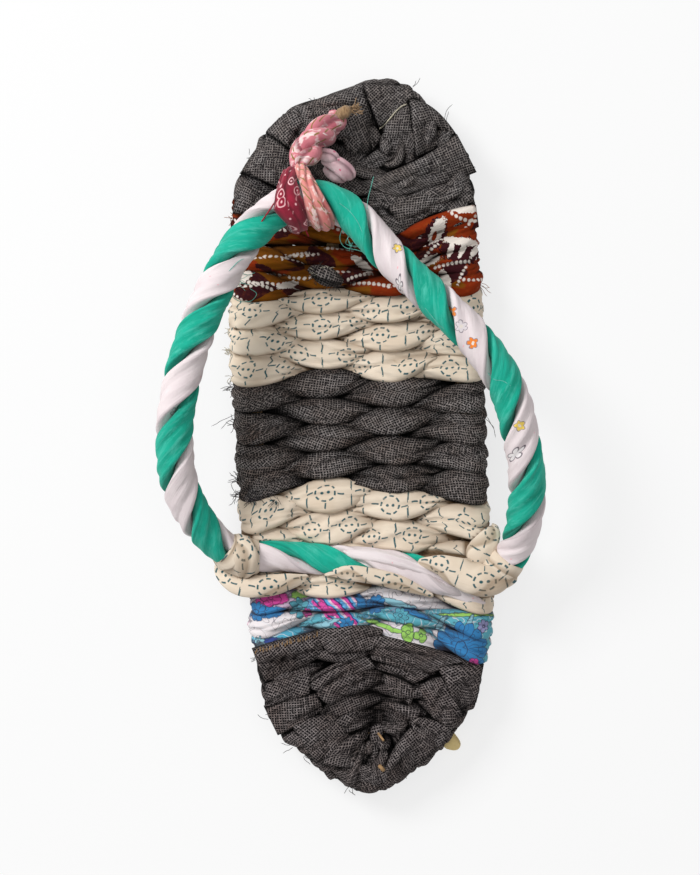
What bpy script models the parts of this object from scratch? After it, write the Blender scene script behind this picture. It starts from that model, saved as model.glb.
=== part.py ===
"""Rag-woven thong sandal: cloth strips woven over two rope loops, with a twisted two-ply cloth strap.

+Y runs to the toe, +X to the right, +Z up.  The sole stands on z = 0.  Lengths in the tables are millimetres,
from the sole's own middle line; the parts are moved by BOX_CENTRE, so that the sandal's box is centred.

The weave is laid out in two numbers.  "across" runs from -1 at the left edge to +1 at the right edge.
"pick" counts the cloth's passes from the toe (0) to the heel (LAST_PICK).  Round the toe and the heel the
picks fan out, so the first and the last row of the table are folded onto themselves.
"""

import math

import bmesh
import bpy
from mathutils import Vector

# ---------------------------------------------------------------- driving dimensions

MM = 0.001
COLLECTION = "woven_sandal"
BOX_CENTRE = (-4.107, -0.5, 0.0)

LAST_PICK = 51
WARPS_ACROSS = (-0.80, -0.27, 0.27, 0.80)
WARP_SPACING = 0.535
WARP_RADIUS = 2.5
WARP_SIDES = 5
GAP = 0.35

LENS_TOP = 2.6
LENS_BOTTOM = 1.7
LENS_EDGE = 1.5
LENS_DROP = 0.9
FLOOR_PRESS = 0.6

HEEL_PIT_DEPTH = 5.0
TOE_PIT_DEPTH = 2.0
PIT_WIDTH = 0.36

STRAP_RADIUS = 6.2
PLY_GAP = 0.16
PLY_SIDES = 7
PLY_WIDTH = 0.90
PLY_BELLY = 0.34
STATIONS_A_TURN = 9
WRAP_WALL = 1.6
WRAP_LENGTH = 13.0
WRAP_SPARE = 0.75
WRAP_SIDES = 10

SAMPLES_A_PICK = 2
EDGE_ANGLES = (52.0, 0.0, -52.0)
TOP_COLUMNS = (-0.80, -0.535, -0.40, -0.27, -0.135, 0.0, 0.135, 0.27, 0.40, 0.535, 0.80)
BOTTOM_COLUMNS = (-0.80, -0.535, -0.38, -0.16, 0.16, 0.38, 0.535, 0.80)

# Cloth and rope colours.
TOE_GREY = (0.105, 0.095, 0.097)
DARK_GREY = (0.070, 0.062, 0.062)
BATIK_BROWN = (0.165, 0.050, 0.006)
CREAM = (0.640, 0.560, 0.450)
FLORAL_BLUE = (0.210, 0.420, 0.620)
SEA_GREEN = (0.005, 0.400, 0.260)
WHITE = (0.760, 0.680, 0.690)
PINK = (0.680, 0.190, 0.240)
CRIMSON = (0.250, 0.012, 0.030)
SALMON = (0.640, 0.220, 0.180)
MAUVE = (0.560, 0.430, 0.460)
ROPE_TAN = (0.360, 0.210, 0.105)

# Rows of the weave: where each row's left end, middle and right end lie.
ROW_COLUMNS = ("row", "left_x", "left_y", "mid_x", "mid_y", "right_x", "right_y")
ROWS = (
    (0.0, 15.4, 121.5, 14.3, 96.7, 15.4, 121.5),
    (1.0, 5.0, 120.5, 13.2, 93.9, 20.9, 118.9),
    (3.0, -18.0, 113.4, 11.1, 88.4, 30.7, 108.1),
    (5.0, -27.6, 105.8, 9.0, 82.8, 39.6, 96.0),
    (7.0, -37.2, 92.8, 6.8, 75.4, 41.8, 82.3),
    (8.5, -40.7, 82.7, 5.6, 68.9, 42.2, 75.3),
    (14.5, -43.5, 50.0, 0.9, 48.5, 43.4, 49.0),
    (20.5, -43.9, 20.0, -0.3, 20.9, 43.2, 18.0),
    (28.5, -43.2, -21.8, -1.0, -17.5, 42.5, -25.1),
    (35.5, -42.1, -56.1, -0.7, -53.2, 42.8, -61.7),
    (39.5, -40.4, -71.6, 0.7, -65.0, 39.3, -79.8),
    (43.0, -36.8, -91.9, 1.3, -82.3, 35.3, -92.7),
    (45.0, -31.0, -102.5, 1.0, -90.3, 29.0, -101.8),
    (47.0, -22.5, -111.0, 0.7, -96.9, 20.0, -110.9),
    (49.0, -13.2, -118.2, 0.0, -101.5, 9.6, -118.5),
    (50.2, -7.6, -121.6, -0.4, -103.4, 2.6, -121.7),
    (51.0, -2.7, -122.5, -0.6, -104.3, -2.7, -122.5),
)

# Rise of the underside off the floor, and thickness: toe spring, waist arch and a rounded heel.
PROFILE_COLUMNS = ("row", "rise", "thickness")
PROFILE = (
    (0.0, 4.0, 12.0),
    (3.0, 2.8, 13.5),
    (6.0, 1.0, 15.0),
    (9.0, 0.0, 16.0),
    (15.0, 0.0, 16.0),
    (22.0, 1.0, 15.0),
    (29.0, 1.0, 15.0),
    (36.0, 0.0, 16.0),
    (46.0, 0.0, 16.5),
    (49.0, 1.0, 15.0),
    (51.0, 2.2, 13.0),
)

# How far each warp's picks lie behind the row that carries their number.
SHIFT_COLUMNS = ("row", "first_warp", "second_warp", "third_warp", "fourth_warp")
SHIFTS = (
    (0.0, 0.0, 0.0, 0.0, 0.0),
    (2.0, 0.8, 0.8, 0.6, 0.0),
    (20.0, 0.7, 0.9, 0.7, -0.1),
    (45.0, 0.7, 0.9, 0.7, -0.1),
    (51.0, 0.0, 0.0, 0.0, 0.0),
)

# Runs of cloth, front to back.
BAND_COLUMNS = ("name", "first_pick", "last_pick", "colour")
BANDS = (
    ("toe_grey", 0, 8, TOE_GREY),
    ("batik_band", 8, 14, BATIK_BROWN),
    ("cream_front_band", 14, 20, CREAM),
    ("grey_waist_band", 20, 28, DARK_GREY),
    ("cream_rear_band", 28, 35, CREAM),
    ("floral_band", 35, 39, FLORAL_BLUE),
    ("heel_grey", 39, 51, DARK_GREY),
)

# The strap's centre line, once round: toe, left arm, across the sole, right arm.  "turn" counts the twist:
# the green ply is uppermost at each whole turn.
STRAP_COLUMNS = ("x", "y", "z", "half_width", "half_height", "turn")
STRAP = (
    (-12.5, 80.6, 30.6, 6.0, 6.0, 0.32),
    (-24.0, 77.4, 31.4, 6.1, 6.1, 0.66),
    (-36.0, 67.8, 33.6, 6.2, 6.2, 1.00),
    (-45.7, 53.3, 36.5, 6.2, 6.2, 1.50),
    (-53.3, 38.0, 38.5, 6.2, 6.2, 2.00),
    (-59.4, 20.5, 39.0, 6.2, 6.2, 2.50),
    (-62.7, 2.5, 37.0, 6.2, 6.2, 3.00),
    (-61.6, -15.0, 31.2, 6.2, 6.2, 3.50),
    (-54.9, -29.0, 23.0, 6.0, 5.9, 4.00),
    (-45.0, -38.4, 16.9, 5.4, 5.0, 4.35),
    (-29.0, -40.0, 15.3, 5.2, 4.0, 4.65),
    (-13.5, -41.8, 15.1, 5.2, 4.0, 5.00),
    (11.0, -45.6, 15.1, 5.6, 4.0, 5.50),
    (29.0, -50.6, 15.3, 5.4, 4.0, 5.85),
    (43.0, -48.2, 17.2, 5.4, 4.7, 6.17),
    (51.4, -38.0, 21.4, 5.8, 5.6, 6.55),
    (54.6, -21.5, 28.6, 6.2, 6.2, 7.00),
    (53.0, -3.0, 35.2, 6.2, 6.2, 7.50),
    (48.3, 15.5, 38.4, 6.2, 6.2, 8.00),
    (37.8, 32.0, 38.4, 6.2, 6.2, 8.50),
    (25.2, 45.6, 36.4, 6.2, 6.2, 9.00),
    (11.5, 60.0, 33.6, 6.1, 6.1, 9.52),
    (-0.5, 74.5, 31.2, 6.0, 6.0, 10.00),
)
STRAP_TURNS = 10
LEFT_WRAP_POINT = 9
RIGHT_WRAP_POINT = 14

# The toe tie's twisted part, from its socket in the sole to the strap.
TIE_COLUMNS = ("x", "y", "z", "radius", "turn")
TIE = (
    (-2.8, 106.6, 14.9, 3.4, 0.00),
    (-3.6, 106.2, 18.6, 4.2, 0.15),
    (-7.4, 103.6, 22.4, 4.7, 0.40),
    (-11.4, 100.0, 25.6, 4.9, 0.70),
    (-15.2, 95.4, 28.2, 4.6, 1.00),
    (-17.8, 90.8, 30.8, 3.2, 1.20),
)
LOBE_WIDTH = 0.56

# The two legs that loop over the strap: where each crosses it, how wide it lies and how far off the strap.
LEG_COLUMNS = ("name", "x", "front_lean", "back_lean", "half_width", "spare", "colour")
LEGS = (
    ("toe_tie_crimson_leg", -22.0, 4.4, 3.6, 3.9, 1.05, CRIMSON),
    ("toe_tie_salmon_leg", -12.8, -4.4, -3.6, 3.7, 1.65, SALMON),
)
LEG_HALF_THICKNESS = 1.7
LEG_FRONT_WIDTH = 0.55
LEG_ANGLES = (12.0, 38.0, 64.0, 90.0, 116.0, 142.0, 168.0, 196.0, 224.0, 252.0, 280.0, 306.0)

# The toe tie's loose cloth end and the tan cord's end: centre line and radius.
ROUTE_COLUMNS = ("x", "y", "z", "radius")
TAIL = (
    (-10.6, 97.0, 21.4, 1.8),
    (-8.4, 94.6, 22.0, 3.0),
    (-5.4, 91.8, 21.8, 3.4),
    (-2.2, 88.6, 20.8, 2.6),
    (-0.4, 87.0, 20.2, 1.2),
)
CORD_END = (
    (0.2, 109.8, 14.4, 1.5),
    (0.2, 110.0, 17.4, 1.7),
    (1.0, 110.8, 20.2, 1.9),
    (2.8, 112.0, 22.2, 2.2),
    (5.4, 113.2, 23.0, 1.8),
)


# ---------------------------------------------------------------- tables read as smooth curves

class Curve:
    """A value read between a table's entries, along cubics whose slopes come from the neighbouring entries."""

    def __init__(self, table, columns, name, against, period=0.0):
        self.at = [float(entry[columns.index(against)]) for entry in table]
        self.values = [float(entry[columns.index(name)]) for entry in table]
        if period:
            self.close(period)
        self.slopes = [self.slope(i) for i in range(len(self.at))]

    def close(self, period):
        """Repeat two entries past each end, so that the curve runs on round a closed loop."""
        self.at = [a - period for a in self.at[-2:]] + self.at + [a + period for a in self.at[:2]]
        self.values = self.values[-2:] + self.values + self.values[:2]

    def slope(self, i):
        before = max(i - 1, 0)
        after = min(i + 1, len(self.at) - 1)
        return (self.values[after] - self.values[before]) / (self.at[after] - self.at[before])

    def __call__(self, here):
        here = min(max(here, self.at[0]), self.at[-1])
        i = 0
        while i < len(self.at) - 2 and here > self.at[i + 1]:
            i += 1
        span = self.at[i + 1] - self.at[i]
        t = (here - self.at[i]) / span
        return (
            self.values[i] * (2 * t ** 3 - 3 * t ** 2 + 1)
            + self.slopes[i] * span * (t ** 3 - 2 * t ** 2 + t)
            + self.values[i + 1] * (3 * t ** 2 - 2 * t ** 3)
            + self.slopes[i + 1] * span * (t ** 3 - t ** 2)
        )


def curves(table, columns, against, period=0.0):
    """A curve for each column of a table, by name."""
    return {name: Curve(table, columns, name, against, period) for name in columns if name != against}


ROW_CURVES = curves(ROWS, ROW_COLUMNS, "row")
PROFILE_CURVES = curves(PROFILE, PROFILE_COLUMNS, "row")
SHIFT_CURVES = curves(SHIFTS, SHIFT_COLUMNS, "row")
STRAP_CURVES = curves(STRAP, STRAP_COLUMNS, "turn", STRAP_TURNS)
TIE_CURVES = curves(TIE, TIE_COLUMNS, "turn")


# ---------------------------------------------------------------- the woven sole

def row_of(across, pick):
    """The row on which a pick lies at this distance across the sole."""
    shifts = [SHIFT_CURVES[name](pick) for name in SHIFT_COLUMNS[1:]]
    across = min(max(across, WARPS_ACROSS[0]), WARPS_ACROSS[-1])
    i = 0
    while i < len(WARPS_ACROSS) - 2 and across > WARPS_ACROSS[i + 1]:
        i += 1
    t = (across - WARPS_ACROSS[i]) / (WARPS_ACROSS[i + 1] - WARPS_ACROSS[i])
    t = t * t * (3 - 2 * t)
    return min(max(pick + shifts[i] + (shifts[i + 1] - shifts[i]) * t, 0.0), float(LAST_PICK))


def plan(across, row):
    """Where a point of a row lies in the sole's outline, in millimetres."""
    here = {name: curve(row) for name, curve in ROW_CURVES.items()}
    bow_x = (here["right_x"] + here["left_x"]) / 2 - here["mid_x"]
    bow_y = (here["right_y"] + here["left_y"]) / 2 - here["mid_y"]
    x = here["mid_x"] + across * (here["right_x"] - here["left_x"]) / 2 + across ** 2 * bow_x
    y = here["mid_y"] + across * (here["right_y"] - here["left_y"]) / 2 + across ** 2 * bow_y
    return x, y


def pit(across, row):
    """How far the top sinks where the picks gather, at the heel's and the toe's centre."""
    near = math.exp(-((across / PIT_WIDTH) ** 2))
    heel = HEEL_PIT_DEPTH * min(max((row - 43.0) / 6.0, 0.0), 1.0)
    toe = TOE_PIT_DEPTH * min(max((4.0 - row) / 3.0, 0.0), 1.0)
    return near * (heel + toe)


def lens(across, pick, up):
    """How full a pick stands over its warps, from 0 in the creases to 1 on a warp.

    Picks pass over a warp and under the next.  The underside shows the picks that the top hides.
    """
    turned = (1.0 - up) / 2
    best = 0.0
    for i, warp in enumerate(WARPS_ACROSS):
        away = (pick - (i + 1) - turned + 1.0) % 2.0 - 1.0
        aside = (across - warp) / WARP_SPACING
        outside = (i == 0 and aside < 0.0) or (i == len(WARPS_ACROSS) - 1 and aside > 0.0)
        if outside:
            aside = 0.0
        best = max(best, 1.0 - LENS_DROP * away ** 2 - LENS_DROP * (aside / 0.5) ** 2)
    return math.sqrt(best)


def section_columns():
    """Once round the sole's section, as (across, up, outward x, outward z), from the top's left end."""
    rim = 1.0 - WARPS_ACROSS[-1]
    columns = [(across, 1.0, 0.0, 1.0) for across in TOP_COLUMNS]
    for degrees in EDGE_ANGLES:
        angle = math.radians(degrees)
        columns.append((1.0 - rim + rim * math.cos(angle), math.sin(angle), math.cos(angle), math.sin(angle)))
    columns += [(across, -1.0, 0.0, -1.0) for across in reversed(BOTTOM_COLUMNS)]
    for degrees in reversed(EDGE_ANGLES):
        angle = math.radians(degrees)
        columns.append((rim - 1.0 - rim * math.cos(angle), math.sin(angle), -math.cos(angle), math.sin(angle)))
    return columns


def sole_point(across, up, out_x, out_z, pick):
    """A point of the sole's skin, in millimetres."""
    row = row_of(across, pick)
    x, y = plan(across, row)
    rise = PROFILE_CURVES["rise"](row)
    thickness = PROFILE_CURVES["thickness"](row)
    middle = rise + thickness / 2
    full = lens(across, pick, up) - 1.0
    if up >= 1.0:
        z = middle + thickness / 2 + LENS_TOP * full - pit(across, row)
    elif up <= -1.0:
        z = middle - thickness / 2 - LENS_BOTTOM * full - FLOOR_PRESS
    else:
        inward = min(abs(plan(0.0, row)[0] - x), 1.0) * LENS_EDGE * full
        x += inward * out_x
        z = middle + up * thickness / 2 + LENS_EDGE * full * out_z
    return Vector((x, y, max(z, 0.0)))


def sole_ring(pick):
    """The sole's section at one pick."""
    columns = section_columns()
    ring = [sole_point(*entry, pick) for entry in columns]
    if pick in (0, LAST_PICK):
        ring = [(point + ring[mirrored(i, len(TOP_COLUMNS))]) / 2 for i, point in enumerate(ring)]
    return ring


def mirrored(i, top):
    """The place in the section of the point that lies opposite, left for right."""
    edge = len(EDGE_ANGLES)
    bottom = len(BOTTOM_COLUMNS)
    if i < top:
        return top - 1 - i
    if i < top + edge:
        return top + edge + bottom + (edge - 1 - (i - top))
    if i < top + edge + bottom:
        return top + edge + (bottom - 1 - (i - top - edge))
    return top + (edge - 1 - (i - top - edge - bottom))


def band_rings(first, last):
    """Sections along a run of cloth, kept half a gap short of its neighbours."""
    inset = GAP / 2 / 4.3
    start = first if first == 0 else first + inset
    end = last if last == LAST_PICK else last - inset
    steps = (last - first) * SAMPLES_A_PICK
    picks = [first + i / SAMPLES_A_PICK for i in range(steps + 1)]
    picks[0] = start
    picks[-1] = end
    return [sole_ring(pick) for pick in picks]


# ---------------------------------------------------------------- lofts and tubes

def loft(name, rings, close_start=True, close_end=True, cyclic=False):
    """A closed skin through like rings of points, in millimetres."""
    built = bmesh.new()
    centre = Vector(BOX_CENTRE)
    lines = [[built.verts.new((point - centre) * MM) for point in ring] for ring in rings]
    pairs = list(zip(lines, lines[1:]))
    if cyclic:
        pairs.append((lines[-1], lines[0]))
    for here, there in pairs:
        count = len(here)
        for i in range(count):
            j = (i + 1) % count
            built.faces.new((here[i], here[j], there[j], there[i]))
    if close_start and not cyclic:
        built.faces.new(list(reversed(lines[0])))
    if close_end and not cyclic:
        built.faces.new(lines[-1])
    bmesh.ops.remove_doubles(built, verts=built.verts, dist=0.00001)
    bmesh.ops.triangulate(built, faces=built.faces)
    bmesh.ops.recalc_face_normals(built, faces=built.faces)
    mesh = bpy.data.meshes.new(name)
    built.to_mesh(mesh)
    built.free()
    mesh.shade_smooth()
    mesh.set_sharp_from_angle(angle=math.radians(40.0))
    return mesh


def frame_at(route, i, cyclic):
    """The tangent, side and up directions at a station of a route."""
    count = len(route)
    if cyclic:
        ahead = route[(i + 1) % count]
        behind = route[(i - 1) % count]
    else:
        ahead = route[min(i + 1, count - 1)]
        behind = route[max(i - 1, 0)]
    tangent = (ahead - behind).normalized()
    side = Vector((0.0, 0.0, 1.0)).cross(tangent)
    if side.length < 0.02:
        side = Vector((1.0, 0.0, 0.0))
    side.normalize()
    return tangent, side, tangent.cross(side)


def tube_rings(route, half_widths, half_heights, sides, cyclic=False):
    """Elliptical rings square to a route."""
    rings = []
    for i, centre in enumerate(route):
        tangent, side, up = frame_at(route, i, cyclic)
        ring = []
        for k in range(sides):
            angle = 2 * math.pi * k / sides
            aside = side * math.cos(angle) * half_widths[i]
            ring.append(centre + aside + up * math.sin(angle) * half_heights[i])
        rings.append(ring)
    return rings


# ---------------------------------------------------------------- objects and materials

def material(name, colour, roughness=0.9):
    """A plain cloth material."""
    made = bpy.data.materials.new(name)
    made.use_nodes = True
    shader = made.node_tree.nodes["Principled BSDF"]
    shader.inputs["Base Color"].default_value = (*colour, 1.0)
    shader.inputs["Roughness"].default_value = roughness
    shader.inputs["Metallic"].default_value = 0.0
    made.diffuse_color = (*colour, 1.0)
    return made


def add_part(collection, name, mesh, colour, roughness=0.9):
    """A named part of the sandal, with its own material."""
    part = bpy.data.objects.new(name, mesh)
    mesh.materials.append(material(name, colour, roughness))
    collection.objects.link(part)
    return part


def add_cutter(collection, name, mesh):
    """A shape that is taken out of a part, and isn't a part itself."""
    cutter = bpy.data.objects.new(name, mesh)
    cutter.hide_render = True
    cutter.display_type = "WIRE"
    collection.objects.link(cutter)
    return cutter


def cut(part, cutter):
    """Take a cutter's shape out of a part."""
    taken = part.modifiers.new("cut_" + cutter.name, "BOOLEAN")
    taken.operation = "DIFFERENCE"
    taken.solver = "EXACT"
    taken.object = cutter


# ---------------------------------------------------------------- the warps

def warp_middle(row):
    """The height of the warps, a little under the middle of the sole."""
    return PROFILE_CURVES["rise"](row) + PROFILE_CURVES["thickness"](row) * 0.46


def warp_point(across, row):
    x, y = plan(across, row)
    return Vector((x, y, warp_middle(row)))


def outer_warp_route():
    """Round the sole on the two outer warps, closed at the toe and the heel."""
    rows = (0.0, 1.2, 2.4, 4.2, 6.5, 9.5, 14.0, 19.0, 24.0, 29.0, 34.0, 38.5, 42.0, 45.0, 47.6, 49.6, 51.0)
    left = [warp_point(WARPS_ACROSS[0], row) for row in rows]
    right = [warp_point(WARPS_ACROSS[3], row) for row in rows]
    return left + list(reversed(right[1:-1]))


def inner_warp_route():
    """The two inner warps, joined by a bend inside the toe and another inside the heel."""
    rows = (3.4, 5.4, 8.5, 12.5, 17.0, 22.0, 27.0, 32.0, 36.5, 40.5, 44.0, 47.0)
    left = [warp_point(WARPS_ACROSS[1], row) for row in rows]
    right = [warp_point(WARPS_ACROSS[2], row) for row in rows]
    return left + bend(left[-1], right[-1], -1.0) + list(reversed(right)) + bend(right[0], left[0], 1.0)


def bend(start, end, forward):
    """Points of a half circle from one warp's end to the other's."""
    centre = (start + end) / 2
    reach = (end - start) / 2
    bulge = Vector((0.0, forward * reach.length, 0.0))
    points = []
    for degrees in (45.0, 90.0, 135.0):
        angle = math.radians(degrees)
        points.append(centre - reach * math.cos(angle) + bulge * math.sin(angle))
    return points


def warp_mesh(name, route, radius):
    sizes = [radius] * len(route)
    return loft(name, tube_rings(route, sizes, sizes, WARP_SIDES, cyclic=True), cyclic=True)


# ---------------------------------------------------------------- the strap

def strap_station(turn):
    """The strap's centre, half width and half height at a count of its twist."""
    start = STRAP[0][STRAP_COLUMNS.index("turn")]
    turn = (turn - start) % STRAP_TURNS + start
    here = {name: curve(turn) for name, curve in STRAP_CURVES.items()}
    return Vector((here["x"], here["y"], here["z"])), here["half_width"], here["half_height"]


def strap_turns():
    count = STRAP_TURNS * STATIONS_A_TURN
    return [i / STATIONS_A_TURN for i in range(count)]


def ply_rings(phase):
    """One ply's rounded half sections, wound round the strap's centre line."""
    turns = strap_turns()
    stations = [strap_station(turn) for turn in turns]
    route = [station[0] for station in stations]
    rings = []
    for i, turn in enumerate(turns):
        centre, half_width, half_height = stations[i]
        tangent, side, up = frame_at(route, i, True)
        angle = 2 * math.pi * (turn + phase) + math.pi / 2
        ring = []
        for k in range(PLY_SIDES):
            t = 2 * math.pi * (k + 0.5) / PLY_SIDES
            out = PLY_GAP + (STRAP_RADIUS - PLY_GAP) * (1 - math.cos(t)) / 2
            along = PLY_WIDTH * STRAP_RADIUS * math.sin(t) * (1 + PLY_BELLY * math.cos(t))
            across = out * math.cos(angle) - along * math.sin(angle)
            above = out * math.sin(angle) + along * math.cos(angle)
            across *= half_width / STRAP_RADIUS
            above *= half_height / STRAP_RADIUS
            ring.append(centre + side * across + up * above)
        rings.append(ring)
    return rings


def strap_stretch(first, last, step):
    """Stations of the strap's centre line between two counts of its twist."""
    count = max(int(round((last - first) / step)), 2)
    turns = [first + (last - first) * i / count for i in range(count + 1)]
    return [strap_station(turn) for turn in turns]


def crossing_mesh(name):
    """The groove that the strap lies in, from one wrap to the other."""
    first = STRAP[LEFT_WRAP_POINT][5] - 0.45
    last = STRAP[RIGHT_WRAP_POINT][5] + 0.45
    stations = strap_stretch(first, last, 0.1)
    route = [station[0] for station in stations]
    widths = [station[1] + GAP + 0.25 for station in stations]
    heights = [station[2] + GAP + 0.25 for station in stations]
    return loft(name, tube_rings(route, widths, heights, 12))


def wrap_stations(point, spare=0.0):
    """Stations along one wrap, which is centred on an entry of the strap's table."""
    turn = STRAP[point][5]
    before = strap_station(turn - 0.1)[0]
    after = strap_station(turn + 0.1)[0]
    reach = (WRAP_LENGTH / 2 + spare) * 0.2 / (after - before).length
    return strap_stretch(turn - reach, turn + reach, reach / 3)


def wrap_outer(stations, spare):
    """The outside of a wrap: a loop of cloth that is fullest at its middle."""
    last = len(stations) - 1
    widths = []
    heights = []
    for i, (centre, half_width, half_height) in enumerate(stations):
        full = math.sin(math.pi * i / last) * 0.7
        widths.append(half_width + WRAP_SPARE + WRAP_WALL + full + spare)
        heights.append(half_height + WRAP_SPARE + WRAP_WALL + full + spare)
    return tube_rings([station[0] for station in stations], widths, heights, WRAP_SIDES)


def wrap_mesh(name, point):
    """A sleeve of cloth round the strap, open at both ends."""
    stations = wrap_stations(point)
    outer = wrap_outer(stations, 0.0)
    widths = [station[1] + WRAP_SPARE for station in stations]
    heights = [station[2] + WRAP_SPARE for station in stations]
    inner = tube_rings([station[0] for station in stations], widths, heights, WRAP_SIDES)
    return loft(name, outer + list(reversed(inner)), cyclic=True)


def seat_mesh(name, point):
    """The hollow in the sole's edge that a wrap lies in."""
    return loft(name, wrap_outer(wrap_stations(point, GAP + 0.1), GAP + 0.1))


# ---------------------------------------------------------------- the toe tie

def tie_station(turn):
    here = {name: curve(turn) for name, curve in TIE_CURVES.items()}
    return Vector((here["x"], here["y"], here["z"])), here["radius"]


def tie_twist_mesh(name):
    """Two strands twisted into one, as a two-lobed section that turns along its route."""
    turns = [0.1 * i for i in range(13)]
    stations = [tie_station(turn) for turn in turns]
    route = [station[0] for station in stations]
    rings = []
    for i, turn in enumerate(turns):
        centre, radius = stations[i]
        tangent, side, up = frame_at(route, i, False)
        ring = []
        for k in range(10):
            t = 2 * math.pi * k / 10
            size = radius * (LOBE_WIDTH + (1 - LOBE_WIDTH) * math.cos(t) ** 2)
            angle = t + 2 * math.pi * turn * 0.8
            ring.append(centre + side * size * math.cos(angle) + up * size * math.sin(angle))
        rings.append(ring)
    return loft(name, rings)


def leg_mesh(name, x, front_lean, back_lean, half_width, spare):
    """A strand that goes over the strap from the front, down behind it and back underneath."""
    turn = nearest_turn(x)
    middle, half_strap, strap_height = strap_station(turn)
    aside = (strap_station(turn - 0.05)[0] - strap_station(turn + 0.05)[0]).normalized()
    front = Vector((0.0, 0.0, 1.0)).cross(aside).normalized()
    above = aside.cross(front)
    reach = max(half_strap, strap_height) + spare + LEG_HALF_THICKNESS
    rings = []
    for degrees in LEG_ANGLES:
        angle = math.radians(degrees)
        outward = front * math.cos(angle) + above * math.sin(angle)
        lean = front_lean if math.cos(angle) > 0.0 else back_lean
        centre = middle + outward * reach + aside * lean * math.cos(angle)
        widening = math.sin(math.radians(min(degrees - LEG_ANGLES[0], 90.0))) ** 2
        wide = half_width * (LEG_FRONT_WIDTH + (1.0 - LEG_FRONT_WIDTH) * widening)
        ring = []
        for k in range(8):
            t = 2 * math.pi * k / 8
            ring.append(centre + aside * math.cos(t) * wide + outward * math.sin(t) * LEG_HALF_THICKNESS)
        rings.append(ring)
    return loft(name, rings)


def nearest_turn(x):
    """The count of twist at which the strap passes this distance across, near the toe."""
    turns = [-0.2 + 0.02 * i for i in range(60)]
    return min(turns, key=lambda turn: abs(strap_station(turn)[0].x - x))


def route_mesh(name, table, sides):
    points = [Vector(entry[:3]) for entry in table]
    sizes = [entry[3] for entry in table]
    return loft(name, tube_rings(points, sizes, sizes, sides))


def socket_mesh(name):
    """The hollow in the toe that the tie and the tan cord go down into."""
    start = Vector(TIE[0][:3])
    cord = Vector(CORD_END[0][:3])
    bottom = min(start.z, cord.z) - 2 * GAP
    middle = (start + cord) / 2
    route = [Vector((middle.x, middle.y, bottom)), Vector((middle.x, middle.y, bottom + 14.0))]
    reach = (cord - start).length / 2 + 4.4
    return loft(name, tube_rings(route, [reach] * 2, [reach] * 2, 14))


# ---------------------------------------------------------------- build

def clear_scene():
    for thing in list(bpy.data.objects):
        bpy.data.objects.remove(thing, do_unlink=True)


def build_bands(parts, cutters):
    """The woven cloth, channelled for the warps, with the strap's groove and the tie's socket."""
    channels = []
    routes = {"outer_warp_channel": outer_warp_route(), "inner_warp_channel": inner_warp_route()}
    for name, route in routes.items():
        channels.append(add_cutter(cutters, name, warp_mesh(name, route, WARP_RADIUS + GAP)))
    groove = add_cutter(cutters, "strap_groove", crossing_mesh("strap_groove"))
    left_seat = add_cutter(cutters, "left_wrap_seat", seat_mesh("left_wrap_seat", LEFT_WRAP_POINT))
    right_seat = add_cutter(cutters, "right_wrap_seat", seat_mesh("right_wrap_seat", RIGHT_WRAP_POINT))
    socket = add_cutter(cutters, "tie_socket", socket_mesh("tie_socket"))
    for name, first, last, colour in BANDS:
        ends = (first != 0, last != LAST_PICK)
        band = add_part(parts, name, loft(name, band_rings(first, last), *ends), colour)
        for channel in channels:
            cut(band, channel)
        if name == "toe_grey":
            cut(band, socket)
        if name in ("cream_rear_band", "floral_band"):
            cut(band, groove)
            cut(band, right_seat)
        if name == "cream_rear_band":
            cut(band, left_seat)


def build():
    clear_scene()
    parts = bpy.data.collections.new(COLLECTION)
    cutters = bpy.data.collections.new("cutters")
    bpy.context.scene.collection.children.link(parts)
    bpy.context.scene.collection.children.link(cutters)
    build_bands(parts, cutters)
    add_part(parts, "warp_outer", warp_mesh("warp_outer", outer_warp_route(), WARP_RADIUS), ROPE_TAN)
    add_part(parts, "warp_inner", warp_mesh("warp_inner", inner_warp_route(), WARP_RADIUS), ROPE_TAN)
    add_part(parts, "strap_green_ply", loft("strap_green_ply", ply_rings(0.0), cyclic=True), SEA_GREEN)
    add_part(parts, "strap_white_ply", loft("strap_white_ply", ply_rings(0.5), cyclic=True), WHITE)
    add_part(parts, "strap_wrap_left", wrap_mesh("strap_wrap_left", LEFT_WRAP_POINT), CREAM)
    add_part(parts, "strap_wrap_right", wrap_mesh("strap_wrap_right", RIGHT_WRAP_POINT), CREAM)
    add_part(parts, "toe_tie_twist", tie_twist_mesh("toe_tie_twist"), PINK)
    for name, *shape, colour in LEGS:
        add_part(parts, name, leg_mesh(name, *shape), colour)
    add_part(parts, "toe_tie_tail", route_mesh("toe_tie_tail", TAIL, 8), MAUVE)
    add_part(parts, "toe_tie_cord", route_mesh("toe_tie_cord", CORD_END, 7), ROPE_TAN)


build()
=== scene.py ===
"""Looks of the rag-woven thong sandal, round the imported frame: cloth sole, twisted cloth strap and toe tie.

+Y runs to the toe, +X to the right, +Z up.  Tables are in millimetres from the sole's own middle line, as
the frame's are, and SHIFT moves them to the sandal's box centre.  "across" runs from -1 at the left edge of
the sole to +1 at the right one, and "row" counts the cloth's passes from the toe to the heel.
"""

import math

import bmesh
import bpy
import numpy as np
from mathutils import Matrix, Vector
from mathutils.bvhtree import BVHTree


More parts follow.
